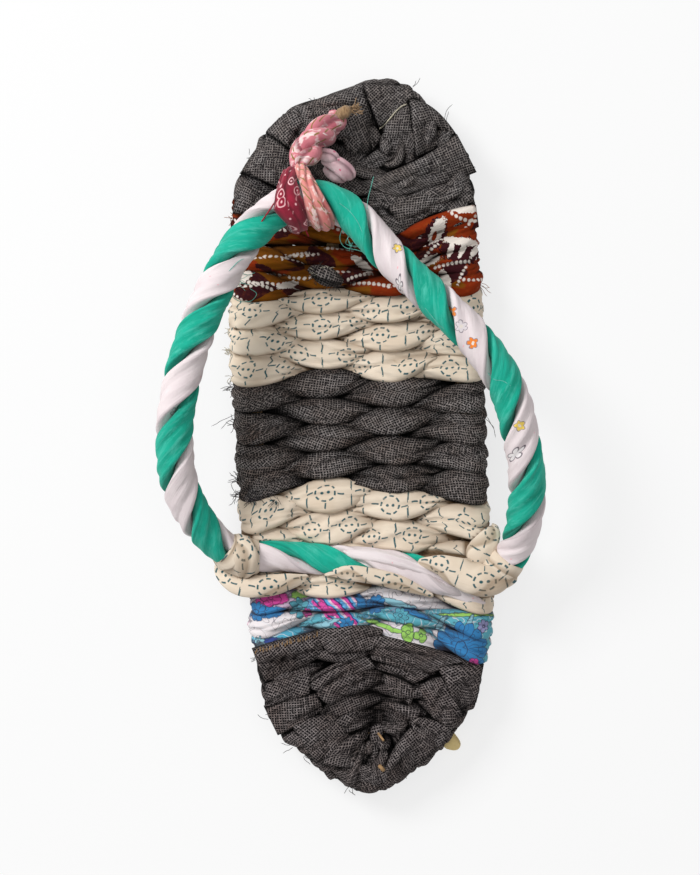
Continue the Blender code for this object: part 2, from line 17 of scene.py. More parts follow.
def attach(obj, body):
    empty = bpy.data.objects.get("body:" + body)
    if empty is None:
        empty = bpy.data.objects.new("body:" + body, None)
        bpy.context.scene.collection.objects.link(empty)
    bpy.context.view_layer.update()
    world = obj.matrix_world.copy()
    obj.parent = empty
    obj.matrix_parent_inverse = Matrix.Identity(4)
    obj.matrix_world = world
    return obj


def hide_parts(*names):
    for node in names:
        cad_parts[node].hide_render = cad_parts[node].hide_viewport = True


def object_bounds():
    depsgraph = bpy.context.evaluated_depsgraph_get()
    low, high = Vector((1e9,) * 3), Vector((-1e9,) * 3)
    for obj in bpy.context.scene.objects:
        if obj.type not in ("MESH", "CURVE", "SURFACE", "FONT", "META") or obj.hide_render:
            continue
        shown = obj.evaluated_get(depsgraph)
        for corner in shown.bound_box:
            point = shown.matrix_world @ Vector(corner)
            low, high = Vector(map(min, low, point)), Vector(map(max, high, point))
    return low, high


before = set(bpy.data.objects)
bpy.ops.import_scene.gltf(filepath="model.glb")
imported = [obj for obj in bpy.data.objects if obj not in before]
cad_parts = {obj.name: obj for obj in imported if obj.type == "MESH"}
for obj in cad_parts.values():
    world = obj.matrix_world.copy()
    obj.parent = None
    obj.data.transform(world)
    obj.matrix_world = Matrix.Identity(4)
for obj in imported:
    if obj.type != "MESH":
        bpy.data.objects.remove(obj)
CAD_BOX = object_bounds()

MM = 0.001
SHIFT = np.array((4.107, 0.5, 0.0))
LAST_PICK = 51      # the row at the heel's end
WARPS = np.array((-0.80, -0.27, 0.27, 0.80))

# ---------------------------------------------------------------- tables shared with the frame

# Rows of the weave: where each row's left end, middle and right end lie.
ROWS = (
    (0.0, 15.4, 121.5, 14.3, 96.7, 15.4, 121.5), (1.0, 5.0, 120.5, 13.2, 93.9, 20.9, 118.9),
    (3.0, -18.0, 113.4, 11.1, 88.4, 30.7, 108.1), (5.0, -27.6, 105.8, 9.0, 82.8, 39.6, 96.0),
    (7.0, -37.2, 92.8, 6.8, 75.4, 41.8, 82.3), (8.5, -40.7, 82.7, 5.6, 68.9, 42.2, 75.3),
    (14.5, -43.5, 50.0, 0.9, 48.5, 43.4, 49.0), (20.5, -43.9, 20.0, -0.3, 20.9, 43.2, 18.0),
    (28.5, -43.2, -21.8, -1.0, -17.5, 42.5, -25.1), (35.5, -42.1, -56.1, -0.7, -53.2, 42.8, -61.7),
    (39.5, -40.4, -71.6, 0.7, -65.0, 39.3, -79.8), (43.0, -36.8, -91.9, 1.3, -82.3, 35.3, -92.7),
    (45.0, -31.0, -102.5, 1.0, -90.3, 29.0, -101.8), (47.0, -22.5, -111.0, 0.7, -96.9, 20.0, -110.9),
    (49.0, -13.2, -118.2, 0.0, -101.5, 9.6, -118.5), (50.2, -7.6, -121.6, -0.4, -103.4, 2.6, -121.7),
    (51.0, -2.7, -122.5, -0.6, -104.3, -2.7, -122.5),
)
# Row, rise of the underside off the floor, thickness.
PROFILE = (
    (0.0, 4.0, 12.0), (3.0, 2.8, 13.5), (6.0, 1.0, 15.0), (9.0, 0.0, 16.0), (15.0, 0.0, 16.0),
    (22.0, 1.0, 15.0), (29.0, 1.0, 15.0), (36.0, 0.0, 16.0), (46.0, 0.0, 16.5), (49.0, 1.0, 15.0),
    (51.0, 2.2, 13.0),
)
# Row, then how far each warp's picks lie behind the row that carries their number.
WARP_LAG = (
    (0.0, 0.0, 0.0, 0.0, 0.0), (2.0, 0.8, 0.8, 0.6, 0.0), (20.0, 0.7, 0.9, 0.7, -0.1),
    (30.0, 0.7, 0.9, 0.7, -0.1), (34.0, 0.7, 0.9, 0.7, 0.9), (38.0, 0.7, 0.9, 0.7, 1.1),
    (45.0, 0.7, 0.9, 0.7, 0.3), (51.0, 0.0, 0.0, 0.0, 0.0),
)
# The strap's centre line: x, y, z, half width, half height, turn of its twist.
STRAP = (
    (-12.5, 80.6, 30.6, 6.0, 6.0, 0.32), (-24.0, 77.4, 31.4, 6.1, 6.1, 0.66),
    (-36.0, 67.8, 33.6, 6.2, 6.2, 1.00), (-45.7, 53.3, 36.5, 6.2, 6.2, 1.50),
    (-53.3, 38.0, 38.5, 6.2, 6.2, 2.00), (-59.4, 20.5, 39.0, 6.2, 6.2, 2.50),
    (-62.7, 2.5, 37.0, 6.2, 6.2, 3.00), (-61.6, -15.0, 31.2, 6.2, 6.2, 3.50),
    (-54.9, -29.0, 23.0, 6.0, 5.9, 4.00), (-45.0, -38.4, 16.9, 5.4, 5.0, 4.35),
    (-29.0, -40.0, 15.3, 5.2, 4.0, 4.65), (-13.5, -41.8, 15.1, 5.2, 4.0, 5.00),
    (11.0, -45.6, 15.1, 5.6, 4.0, 5.50), (29.0, -50.6, 15.3, 5.4, 4.0, 5.85),
    (43.0, -48.2, 17.2, 5.4, 4.7, 6.17), (51.4, -38.0, 21.4, 5.8, 5.6, 6.55),
    (54.6, -21.5, 28.6, 6.2, 6.2, 7.00), (53.0, -3.0, 35.2, 6.2, 6.2, 7.50),
    (48.3, 15.5, 38.4, 6.2, 6.2, 8.00), (37.8, 32.0, 38.4, 6.2, 6.2, 8.50),
    (25.2, 45.6, 36.4, 6.2, 6.2, 9.00), (11.5, 60.0, 33.6, 6.1, 6.1, 9.52),
    (-0.5, 74.5, 31.2, 6.0, 6.0, 10.00),
)
STRAP_TURNS = 10
LEFT_WRAP_TURN, RIGHT_WRAP_TURN = 4.35, 6.17
# The toe tie's centre line from its socket to the strap: x, y, z, radius, turn.
TIE = (
    (-2.8, 106.6, 14.9, 3.4, 0.00), (-3.6, 106.2, 18.6, 4.2, 0.15), (-7.4, 103.6, 22.4, 4.7, 0.40),
    (-11.4, 100.0, 25.6, 4.9, 0.70), (-15.2, 95.4, 28.2, 4.6, 1.00), (-17.8, 90.8, 30.8, 3.2, 1.20),
)
# Where each leg of the tie crosses the strap: x, lean before and behind, half width, room off the strap.
LEGS = (
    ("crimson_leg", -22.4, 4.4, -1.0, 4.3, 1.05, "crimson_cloth", "toe_tie_crimson_leg"),
    ("salmon_leg", -12.8, -4.4, -3.6, 3.7, 1.65, "salmon_cloth", "toe_tie_salmon_leg"),
)
CORD_END = (
    (0.2, 109.8, 14.4, 1.5), (0.2, 110.0, 17.4, 1.7), (1.0, 110.8, 20.2, 1.9), (2.8, 112.0, 22.2, 2.2),
    (5.4, 113.2, 23.0, 1.8),
)


# ---------------------------------------------------------------- smooth tables

class Curve:
    """A table read along cubics whose slopes come from the neighbouring entries."""

    def __init__(self, at, values, period=0.0):
        at, values = np.array(at, float), np.array(values, float)
        if period:
            at = np.concatenate([at[-2:] - period, at, at[:2] + period])
            values = np.concatenate([values[-2:], values, values[:2]])
        order = np.arange(len(at))
        before, after = np.maximum(order - 1, 0), np.minimum(order + 1, len(at) - 1)
        self.at, self.values = at, values
        self.slopes = (values[after] - values[before]) / (at[after] - at[before])

    def __call__(self, here):
        here = np.clip(here, self.at[0], self.at[-1])
        i = np.clip(np.searchsorted(self.at, here, side="right") - 1, 0, len(self.at) - 2)
        span = self.at[i + 1] - self.at[i]
        t = (here - self.at[i]) / span
        return (
            self.values[i] * (2 * t ** 3 - 3 * t ** 2 + 1)
            + self.slopes[i] * span * (t ** 3 - 2 * t ** 2 + t)
            + self.values[i + 1] * (3 * t ** 2 - 2 * t ** 3)
            + self.slopes[i + 1] * span * (t ** 3 - t ** 2)
        )


def read_table(table, key, period=0.0):
    """A curve for each column of a table but the key's."""
    columns = list(zip(*table))
    key = key % len(columns)
    return [Curve(columns[key], column, period) for i, column in enumerate(columns) if i != key]


ROW_CURVES = read_table(ROWS, 0)
PROFILE_CURVES = read_table(PROFILE, 0)
LAG_CURVES = read_table(WARP_LAG, 0)
STRAP_CURVES = read_table(STRAP, -1, STRAP_TURNS)
TIE_CURVES = read_table(TIE, -1)


DRIFT_KNOTS, RUMPLE_KNOTS = 4096, 2048  # random values before a wandering one starts again
LAP_RISE, LAP_FALL = 0.84, 0.16         # shares of a lap of cloth before and after its edge


def smooth_step(t):
    """An even change from 0 to 1 that starts and ends gently."""
    t = np.clip(t, 0.0, 1.0)
    return t * t * (3 - 2 * t)


def drift(seed, at, step):
    """A smooth wandering value from 0 to 1 that changes about once every step."""
    knots = np.random.default_rng(seed).random(DRIFT_KNOTS)
    at = np.asarray(at, float) / step + 17.0
    i = np.floor(at).astype(int)
    t = smooth_step(at - i)
    return knots[i % DRIFT_KNOTS] * (1 - t) + knots[(i + 1) % DRIFT_KNOTS] * t


def rumple(seed, along, turn, along_step, round_count):
    """A smooth wandering value from 0 to 1 over a strip's length and once round it."""
    knots = np.random.default_rng(seed).random((RUMPLE_KNOTS, round_count))
    along = along / along_step + 11.0
    about = turn / (2 * np.pi) * round_count
    i, j = np.floor(along).astype(int), np.floor(about).astype(int)
    t, s = smooth_step(along - i), smooth_step(about - j)
    here, ahead = i % RUMPLE_KNOTS, (i + 1) % RUMPLE_KNOTS
    columns = j % round_count, (j + 1) % round_count
    one, other = (knots[here, at] * (1 - t) + knots[ahead, at] * t for at in columns)
    return one * (1 - s) + other * s


def fold_steps(value):
    """Laps of folded cloth: a slow rise to a rounded edge, then a quick drop to the next lap."""
    part = value - np.floor(value)
    return np.where(part < LAP_RISE, part / LAP_RISE, (1 - part) / LAP_FALL)


# ---------------------------------------------------------------- meshes from mapped grids

LAP_TURN = 70.0         # degrees over which the folded layers' threads are turned
LAYER_CHANCES = 997     # layers of cloth before their random turns start again
WELD = 0.0000001        # only points that a skin has twice, at its seam and its poles, are this close


def measured(points, closed):
    """Millimetres along and round a skin, both read on the skin itself, at each station and column."""
    ring = np.concatenate([points, points[:, :1]], 1)
    line = np.concatenate([ring, ring[:1]]) if closed else ring
    along = np.linalg.norm(np.diff(line, axis=0), axis=2)
    along = np.concatenate([np.zeros((1, ring.shape[1])), np.cumsum(along, 0)])
    around = np.linalg.norm(np.diff(line, axis=1), axis=2)
    around = np.concatenate([np.zeros((len(line), 1)), np.cumsum(around, 1)], 1)
    return along, around


def cloth_tube(name, points, length_at, attributes=None, closed=False, picks=None, upward=None, lap=None):
    """A closed skin from a create_grid sheet: its rows go along a strip and its columns round it.

    points is (stations, columns, 3) in millimetres in the sole's frame.  The sheet is rolled up, and its
    ends are drawn together to poles, or joined to each other where closed is True.  The cloth's own places
    are its UV map in metres.  picks gives each station's pick, inside which they are read on the skin, and
    upward tells for each pick which of its faces is on top.  lap numbers the layers of folded cloth: each
    layer's threads run at an angle of their own.
    """
    stations, columns = points.shape[:2]
    rows = stations + 1 if closed else stations
    sheet = bmesh.new()
    sheet.loops.layers.uv.new("UVMap")
    bmesh.ops.create_grid(sheet, x_segments=rows - 1, y_segments=columns, size=0.5, calc_uvs=True)
    mesh = bpy.data.meshes.new(name)
    sheet.to_mesh(mesh)
    sheet.free()
    flat = np.zeros(len(mesh.vertices) * 3)
    mesh.vertices.foreach_get("co", flat)
    flat = flat.reshape(-1, 3)
    station = np.rint((flat[:, 0] + 0.5) * (rows - 1)).astype(int)
    column = np.rint((flat[:, 1] + 0.5) * columns).astype(int)
    vertex = station % stations, column % columns
    mesh.vertices.foreach_set("co", ((points[vertex] + SHIFT) * MM).ravel())
    corners = np.zeros(len(mesh.loops), int)
    mesh.loops.foreach_get("vertex_index", corners)
    far, about = station[corners], column[corners]
    on_skin, around = measured(points, closed)
    if picks is None:
        u, v = np.asarray(length_at, float)[far], around[far, about] - around[far, columns // 4]
    else:
        pick = np.repeat(picks[far].reshape(-1, 4).min(1), 4)
        v = around[far, about] - around[far, np.where(upward[pick], 1, 3) * columns // 4]
        middle = np.searchsorted(picks, np.arange(picks[-1] + 1)) + np.bincount(picks) // 2
        middle = np.minimum(middle, stations - 1)[pick]
        u = on_skin[far, about] - on_skin[middle, about] + np.asarray(length_at, float)[middle]
    if lap is not None:
        layer = lap[far % stations, about % columns].astype(int).reshape(-1, 4)[:, :1]
        layer = np.repeat(layer, 4, 1).ravel() % LAYER_CHANCES
        chance = np.random.default_rng(len(points) + 5).random((LAYER_CHANCES, 3))[layer]
        angle = np.radians(LAP_TURN * (chance[:, 0] - 0.5))
        u, v = u * np.cos(angle) - v * np.sin(angle), u * np.sin(angle) + v * np.cos(angle)
        u, v = u + 40 * chance[:, 1], v + 40 * chance[:, 2]
    mesh.uv_layers.active.data.foreach_set("uv", np.stack([u, v], 1).ravel() * MM)
    for key, values in (attributes or {}).items():
        got = np.broadcast_to(values, (stations, columns, *values.shape[2:]))[vertex]
        if values.ndim == 3:
            made = mesh.attributes.new(key, "FLOAT_COLOR", "POINT")
            made.data.foreach_set("color", np.concatenate([got, np.ones((len(got), 1))], 1).ravel())
        else:
            made = mesh.attributes.new(key, "FLOAT", "POINT")
            made.data.foreach_set("value", got.ravel())
    return mesh


def join_shells(name, meshes, finish, slot, *replaces):
    """One piece from closed skins: doubles merged, normals outwards, riding on the sandal."""
    whole = bmesh.new()
    for mesh in meshes:
        whole.from_mesh(mesh)
        bpy.data.meshes.remove(mesh)
    bmesh.ops.remove_doubles(whole, verts=whole.verts, dist=WELD)
    bmesh.ops.recalc_face_normals(whole, faces=whole.faces)
    for face in whole.faces:
        face.smooth = True
    mesh = bpy.data.meshes.new(name)
    whole.to_mesh(mesh)
    whole.free()
    mesh.materials.append(finish)
    piece = bpy.data.objects.new(name, mesh)
    bpy.context.scene.collection.objects.link(piece)
    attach(piece, "root")
    if replaces:
        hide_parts(*replaces)
    return piece


def lengths_along(centres, closed=False):
    """Distance along a line at each station, with the last one again where it closes."""
    line = np.concatenate([centres, centres[:1]]) if closed else centres
    return np.concatenate([[0.0], np.cumsum(np.linalg.norm(np.diff(line, axis=0), axis=1))])


# ---------------------------------------------------------------- the woven sole

def plan(across, row):
    """Where a point of a row lies in the sole's outline.  Past the toe and the heel the rows run back."""
    beyond = (row < 0.0) | (row > LAST_PICK)
    across = np.where(beyond, -across, across)
    row = np.where(row < 0.0, -row, np.where(row > LAST_PICK, 2 * LAST_PICK - row, row))
    left_x, left_y, mid_x, mid_y, right_x, right_y = (curve(row) for curve in ROW_CURVES)
    x = mid_x + across * (right_x - left_x) / 2 + across ** 2 * ((right_x + left_x) / 2 - mid_x)
    y = mid_y + across * (right_y - left_y) / 2 + across ** 2 * ((right_y + left_y) / 2 - mid_y)
    return x, y


def row_of(across, pick):
    """The row on which a pick lies at this distance across."""
    lags = np.stack([curve(pick) for curve in LAG_CURVES])
    inside = np.clip(across, WARPS[0], WARPS[-1])
    i = np.clip(np.searchsorted(WARPS, inside, side="right") - 1, 0, 2)
    t = smooth_step((inside - WARPS[i]) / (WARPS[i + 1] - WARPS[i]))
    order = np.arange(len(pick))
    return pick + lags[i, order] * (1 - t) + lags[i + 1, order] * t


def pit(across, row):
    """How far the top sinks where the picks gather, at the heel's and the toe's centre."""
    heel = 6.5 * np.clip((row - 42.5) / 5.0, 0.0, 1.0) * np.exp(-((across / 0.34) ** 2))
    toe = 2.0 * np.clip((4.0 - row) / 3.0, 0.0, 1.0) * np.exp(-((across / 0.36) ** 2))
    return heel + toe


TRAVERSE = 0.8      # share of a pick's count spent crossing the sole; the rest is its turn at the edge
STEPS_A_PICK = 76   # stations along a pick and its turn
AROUND = 48         # columns round a band's section
CLOTH_HALF = 2.9    # half thickness over a warp
ROOF = 0.14         # how much the folds are creased rather than rounded
CREASE_WIDTH = 0.60 # half width where a pick dives, in rows
DIVE = 2.6          # how late a pick dives from the top to the underside


def weave_path(first, last):
    """Stations of the cloth between two counts of picks.

    Gives the count, the distance across, the pick's place between rows, the share of the way from a warp to
    the next, whether the pick is over that warp, whether it turns at the edge, the angle of that turn and
    which way the pick runs.
    """
    count = int(round((last - first) * STEPS_A_PICK))
    course = np.linspace(first, last, count + 1)
    pick = np.floor(course + TRAVERSE / 2)
    rightward = np.where(pick % 2 == 1, 1.0, -1.0)
    part = (course - pick + TRAVERSE / 2) / TRAVERSE
    turning = part > 1.0
    across = rightward * (np.clip(part, 0.0, 1.0) * 2 - 1) * WARPS[-1]
    i = np.clip(np.searchsorted(WARPS, across, side="right") - 1, 0, 2)
    tau = (across - WARPS[i]) / (WARPS[i + 1] - WARPS[i])
    over = (pick + i) % 2 == 1
    turn = np.clip((course - pick - TRAVERSE / 2) / (1 - TRAVERSE), 0.0, 1.0)
    angle = (turn - 0.5) * np.pi
    lane = pick + np.where(turning, smooth_step(turn), 0.0)
    return course, across, lane, tau, over, turning, angle, rightward


def band_laps(seed, course, length, turn, ends, up, folds, fold_depth):
    """A band's lengthwise laps: their numbers, how open the cloth is there, and how far it stands out."""
    side, ends = np.cos(turn), ends[:, None]
    laps = (folds[0] + folds[1] * drift(seed + 2, course, 0.27))[:, None]
    wander = 5.0 * drift(seed + 3, course, 0.30)[:, None]
    lap_at = laps * (side * 0.5 + 0.5) + wander + np.where(up > 0, 0.0, 0.45)
    fold = fold_steps(lap_at)
    crown = 1 - np.abs(side) ** 4
    depth = fold_depth * ends * (0.35 + 0.65 * drift(seed + 4, course, 0.27))[:, None]
    rise_off = (fold - 0.7) * depth * crown
    rise_off += 0.80 * (rumple(seed + 5, length[:, None], turn, 8.0, 7) - 0.5) * ends
    rise_off += 0.34 * (rumple(seed + 6, length[:, None], turn, 3.1, 19) - 0.5) * ends
    for k in range(2):
        line = (1.5 * drift(seed + 20 + k, course, 0.31) - 0.75)[:, None]
        sharp = (0.6 + 0.8 * drift(seed + 30 + k, course, 0.24))[:, None]
        rise_off -= sharp * np.exp(-np.abs((side - line) / 0.085)) * crown * ends
        fold = np.minimum(fold, 1 - 0.95 * sharp * np.exp(-((side - line) / 0.06) ** 2))
    return lap_at, fold, rise_off


woven_before = []   # the bands made so far
BAND_TAPER = 5.0    # length over which a band's end is drawn in
LEAF_SEED = 300     # from a band's seed to its first leaf's


def woven_band(name, first, last, seed, finish, slot, node, tint=None, folds=(0.9, 1.4), fold_depth=1.6,
               crest=1.08, shingle=1.0, pressed=False, turned=True, extra=(), leaves=(), stand=1.0,
               flatness=0.52):
    """One run of cloth strip, woven to and fro between two counts of picks, as a single closed skin.

    folds is the least count of laps and how much it varies, and fold_depth how deep they are.  crest is the
    half width over a warp in rows, shingle how much each pick tilts onto the next, and flatness how square
    its section is.  turned lets each lap's threads run at their own angle, and pressed makes room for the
    strap.  leaves are flat folds laid on it, stand the height of their steps, and extra other skins joined
    to it.
    """
    course, across, lane, tau, over, turning, angle, rightward = weave_path(first, last)
    row = row_of(across, lane)
    rise, thickness = (curve(np.clip(row, 0, LAST_PICK)) for curve in PROFILE_CURVES)
    middle = rise + thickness / 2
    ahead, behind = plan(across + 0.02, row), plan(across - 0.02, row)
    scale = np.maximum(np.hypot(ahead[0] - behind[0], ahead[1] - behind[1]) / 0.04, 16.0)
    reach = thickness / 2 - CLOTH_HALF + 0.1
    full_half = thickness / 2 + 0.1

    # The top falls slowly from a warp and dives before the next; the underside mirrors it.
    drop = full_half - CLOTH_HALF + reach
    top = full_half - drop * tau ** DIVE
    bottom = -(full_half - drop * (1 - tau) ** DIVE)
    top, bottom = np.where(over, top, -bottom), np.where(over, bottom, -top)
    height, half = (top + bottom) / 2, (top - bottom) / 2
    full = np.abs(np.cos(np.pi * tau))
    outward = np.where(turning, rightward * np.cos(angle), 0.0)
    height = np.where(turning, reach * np.sin(angle), height)
    half = np.where(turning, CLOTH_HALF, half)
    full = np.where(turning, 1.0, full)

    # The outermost warps keep a cloth's thickness inside the outline.
    rim = 1 - (reach + CLOTH_HALF - 0.4) / scale
    outer = np.abs(across) / WARPS[-1]
    across = across * (1 + (rim / WARPS[-1] - 1) * outer ** 3)
    across = across + outward * reach / scale
    z = middle + height
    wave = np.where(over, 1.0, -1.0) * np.cos(np.pi * tau)
    soft_height = 0.45 * reach * np.where(turning, np.sign(angle), wave)
    along_x = np.where(turning, -rightward * np.sin(angle), np.gradient(across * scale))
    along_z = np.where(turning, np.cos(angle), np.gradient(soft_height))
    size = np.hypot(along_x, along_z) + 1e-9
    normal_x, normal_z = along_z / size, -along_x / size
    x, y = plan(across, row)
    length = lengths_along(np.stack([x, y, middle + np.where(turning, height, soft_height)], 1))

    # One column of values a station, one row of values round the section.
    turn = around_section(AROUND)
    side, up = np.cos(turn), np.sin(turn)
    ridge = (1.3 * (drift(seed + 9, course, 0.26) - 0.5))[:, None] * np.where(up > 0, 1.0, -1.0)
    roof = np.minimum((side + 1) / (1 + ridge), (1 - side) / (1 - ridge))
    up = np.sign(up) * ((1 - ROOF) * np.abs(up) ** flatness + ROOF * roof)
    swell = 0.92 + 0.20 * drift(seed + 1, course, 0.23)
    width = (CREASE_WIDTH + (crest - CREASE_WIDTH) * full) * swell
    ends = np.minimum(length, length[-1] - length)
    ends = np.sqrt(np.clip(ends / BAND_TAPER, 0.0, 1.0))
    width, half = (width * ends)[:, None], (half * ends)[:, None]
    lateral = side * width

    lap_at, fold, rise_off = band_laps(seed, course, length, turn, ends, up, folds, fold_depth)
    tilt = shingle + 1.8 * (drift(seed + 7, course, 0.33) - 0.5)
    facing = -rightward * np.where(turning, np.cos(np.pi * (angle / np.pi + 0.5)), 1.0)
    roll = (tilt * facing)[:, None] * side * full[:, None]
    roll[[0, -1]] = 0.0
    lift = up * half + np.sign(up) * rise_off * np.abs(up) ** 0.6 + roll * np.abs(up)

    sway = ((drift(seed + 8, course, 0.29) - 0.5) * 0.5)[:, None]
    across_v = across[:, None] + normal_x[:, None] * lift / scale[:, None]
    row_v = row[:, None] + lateral + sway
    z_v = z[:, None] + normal_z[:, None] * lift
    inward = np.where(turning, 0.0, 1.0)[:, None]
    beyond = (outward[:, None] * reach[:, None] + normal_x[:, None] * lift) * (1 - inward)
    deep = full_half[:, None] - np.hypot(z_v - middle[:, None], beyond)
    x_v, y_v = plan(across_v, row_v)
    inside = np.clip(across_v, -1, 1)
    sunk = pit(inside, np.clip(row_v, 0, LAST_PICK))
    z_v -= sunk * smooth_step((z_v - middle[:, None]) / 6.0 + 0.5)
    z_v = press_under_strap(x_v, y_v, z_v) if pressed else z_v
    z_v = np.where(z_v < 1.0, np.maximum(z_v, 0.02 + 0.25 * np.maximum(z_v, 0.0)), z_v)
    points = np.stack([x_v, y_v, z_v], 2)
    # fold and deep drive painted shade in the finishes: darker in the laps' creases, at the section's edges
    # and deep in the weave.
    attributes = {"fold": np.clip(0.5 * fold + 0.5 * (1 - side ** 6), 0.0, 1.0),
                  "deep": np.clip((deep + 0.35 * sunk) / 5.0, 0.0, 1.0)}
    if tint is not None:
        attributes.update(tint(across, lane))
    picks = (np.floor(course + 0.5) - np.floor(first + 0.5)).astype(int)
    upward = (np.arange(picks[-1] + 1) + np.floor(first + 0.5)) % 2 == 0
    lap = np.floor(lap_at) * 2 + (up > 0) + 40 * picks[:, None] if turned else None
    mesh = cloth_tube(name, points, length, attributes, picks=picks, upward=upward, lap=lap)
    height_at = heights_over([mesh] + [piece.data for piece in woven_before[-1:]]) if leaves else None
    laid = [cloth_leaf(corners, swell, seed + LEAF_SEED + i, height_at, stand)
            for i, (corners, swell) in enumerate(leaves)]
    woven_before.append(join_shells(name, [mesh, *laid, *extra], finish, slot, node))


def strap_at(turns):
    """The strap's centre line, half width and half height at counts of its twist."""
    start = STRAP[0][-1]
    turns = (np.asarray(turns, float) - start) % STRAP_TURNS + start
    x, y, z, half_width, half_height = (curve(turns) for curve in STRAP_CURVES)
    return np.stack([x, y, z], 1), half_width, half_height


ACROSS_SOLE = (3.95, 6.6)   # turns of the strap's twist between which it crosses the sole
SLEEVES_AT = (-45.0, 43.0)  # x of the sleeves round it


def press_under_strap(x, y, z):
    """Cloth that would stand in the strap's way is pressed down under it."""
    route, half_width, half_height = strap_at(np.linspace(*ACROSS_SOLE, 120))
    at = route[:, 0]
    wrap = np.exp(-((np.min([np.abs(at - place) for place in SLEEVES_AT], axis=0) / 6.5) ** 4)) * 2.2
    middle = np.interp(x, at, route[:, 1])
    height = np.interp(x, at, route[:, 2])
    reach = np.interp(x, at, half_width + wrap) + 0.2
    below = np.interp(x, at, half_height + wrap) + 0.2
    off = (y - middle) / reach
    level = height - below * np.sqrt(np.clip(1 - off ** 2, 0.0, 1.0))
    inside = (np.abs(off) < 1.0) & (x > at[0]) & (x < at[-1])
    return np.where(inside & (z > level), np.maximum(level, 1.5 + 0.1 * z), z)


# ---------------------------------------------------------------- tubes along routes

def frames(centres, closed=False):
    """Tangent, side and up directions at each station of a route."""
    if closed:
        tangent = np.roll(centres, -1, 0) - np.roll(centres, 1, 0)
    else:
        tangent = np.gradient(centres, axis=0)
    tangent /= np.linalg.norm(tangent, axis=1)[:, None]
    side = np.cross(np.array((0.0, 0.0, 1.0)), tangent)
    flat = np.linalg.norm(side, axis=1) < 0.02
    side[flat] = (1.0, 0.0, 0.0)
    side /= np.linalg.norm(side, axis=1)[:, None]
    return tangent, side, np.cross(tangent, side)


def around_section(columns):
    """Angles of a section's points, as a row."""
    return np.linspace(0.0, 2 * np.pi, columns, endpoint=False)[None, :]


def tube_points(centres, side, up, across, above):
    """Section points from offsets across and above a route, each (stations, columns)."""
    return centres[:, None, :] + side[:, None, :] * across[..., None] + up[:, None, :] * above[..., None]


def smooth_route(table, count):
    """A table of points read as an even smooth line, with its last column as the size there."""
    table = np.array(table, float)
    at = np.concatenate([[0.0], np.cumsum(np.linalg.norm(np.diff(table[:, :3], axis=0), axis=1))])
    here = np.linspace(0.0, at[-1], count)
    columns = [Curve(at, column)(here) for column in table.T]
    return np.stack(columns[:3], 1), columns[3]


STRAP_RADIUS = 6.2
PLY_GAP = 0.01      # from a ply to the strap's middle line
PLY_STEPS = 46      # stations in one turn of the twist
PLY_AROUND = 34     # columns round its section


def strap_ply(name, phase, seed, finish, slot, node):
    """One folded strip of the two-ply strap, wound once round the whole loop."""
    turns = np.arange(STRAP_TURNS * PLY_STEPS) / PLY_STEPS
    centres, half_width, half_height = strap_at(turns)
    _, side, up = frames(centres, closed=True)
    length = lengths_along(centres, closed=True)
    t = 2 * np.pi * (np.arange(PLY_AROUND) + 0.5)[None, :] / PLY_AROUND
    t = t - 0.35 * np.sin(t)
    angle = (2 * np.pi * (turns + phase) + np.pi / 2)[:, None]
    out = PLY_GAP + (STRAP_RADIUS - PLY_GAP) * (1 - np.cos(t)) / 2
    along = 0.90 * STRAP_RADIUS * np.sin(t) * (1 + 0.34 * np.cos(t))
    belly = smooth_step((1 - np.cos(t)) / 2)
    laps = (1.5 + 0.9 * drift(seed, turns, 0.7))[:, None]
    wander = (1.8 * drift(seed + 1, turns, 0.55))[:, None]
    fold = fold_steps(laps * t / (2 * np.pi) * 2 + wander)
    closing = smooth_step(np.minimum(turns, STRAP_TURNS - turns) / 0.4)[:, None]
    far = length[:-1, None]
    puff = 0.55 * (fold - 0.6) + 0.9 * (rumple(seed + 2, far, t, 11.0, 7) - 0.5)
    puff += 0.35 * (rumple(seed + 3, far, t, 4.0, 15) - 0.5)
    out = out + puff * belly * closing
    across = (out * np.cos(angle) - along * np.sin(angle)) * half_width[:, None] / STRAP_RADIUS
    above = (out * np.sin(angle) + along * np.cos(angle)) * half_height[:, None] / STRAP_RADIUS
    points = tube_points(centres, side, up, across, above)
    # fold drives painted highlights on the laps' edges and painted shade in their creases and towards the
    # strap's middle.
    crease = np.clip(0.6 * fold + 0.4 * belly, 0.0, 1.0)
    mesh = cloth_tube(name, points, length, {"fold": crease}, closed=True)
    return join_shells(name, [mesh], finish, slot, node)


SLEEVE_SUNK = 0.5   # how far a sleeve's inner wall lies inside the strap's width


def wrap_sleeve(name, turn, back, ahead, seed, finish, slot, node):
    """The sole's cloth carried once round the strap: a short sleeve with two or three laps."""
    pace = 0.2 / np.linalg.norm(strap_at([turn + 0.1])[0][0] - strap_at([turn - 0.1])[0][0])
    centres, *halves = strap_at(np.linspace(turn - back * pace, turn + ahead * pace, 40))
    half_width, half_height = (half[:, None] for half in halves)
    _, side, up = frames(centres)
    part = np.linspace(0.0, 1.0, 40)[:, None]
    t = around_section(64)
    slant = part * 2.6 + 0.28 * np.sin(t + seed) + 0.35 * drift(seed, t * 3.0, 2.1)
    laps = fold_steps(slant)
    wall = 0.6 + 1.5 * np.sin(np.pi * part) ** 0.6 * (0.40 + 0.60 * laps)
    wall = wall + 0.5 * (rumple(seed + 2, part * 14.0, t, 3.0, 11) - 0.5)
    wall = wall * np.sin(np.pi * np.clip(part, 0.02, 0.98)) ** 0.25 - 0.1
    outer, inner = (
        tube_points(centres, side, up, (half_width + off) * np.cos(t), (half_height + off) * np.sin(t))
        for off in (wall, -SLEEVE_SUNK)
    )
    points = np.concatenate([outer, inner[::-1]])
    length = lengths_along(points[:, 0], closed=True)
    # fold drives painted shade in the laps' creases; the inner wall is painted in crease shade.
    fold = np.concatenate([laps * np.ones_like(t), np.zeros_like(laps * t)])
    mesh = cloth_tube(name, points, length, {"fold": fold}, closed=True)
    return join_shells(name, [mesh], finish, slot, node)


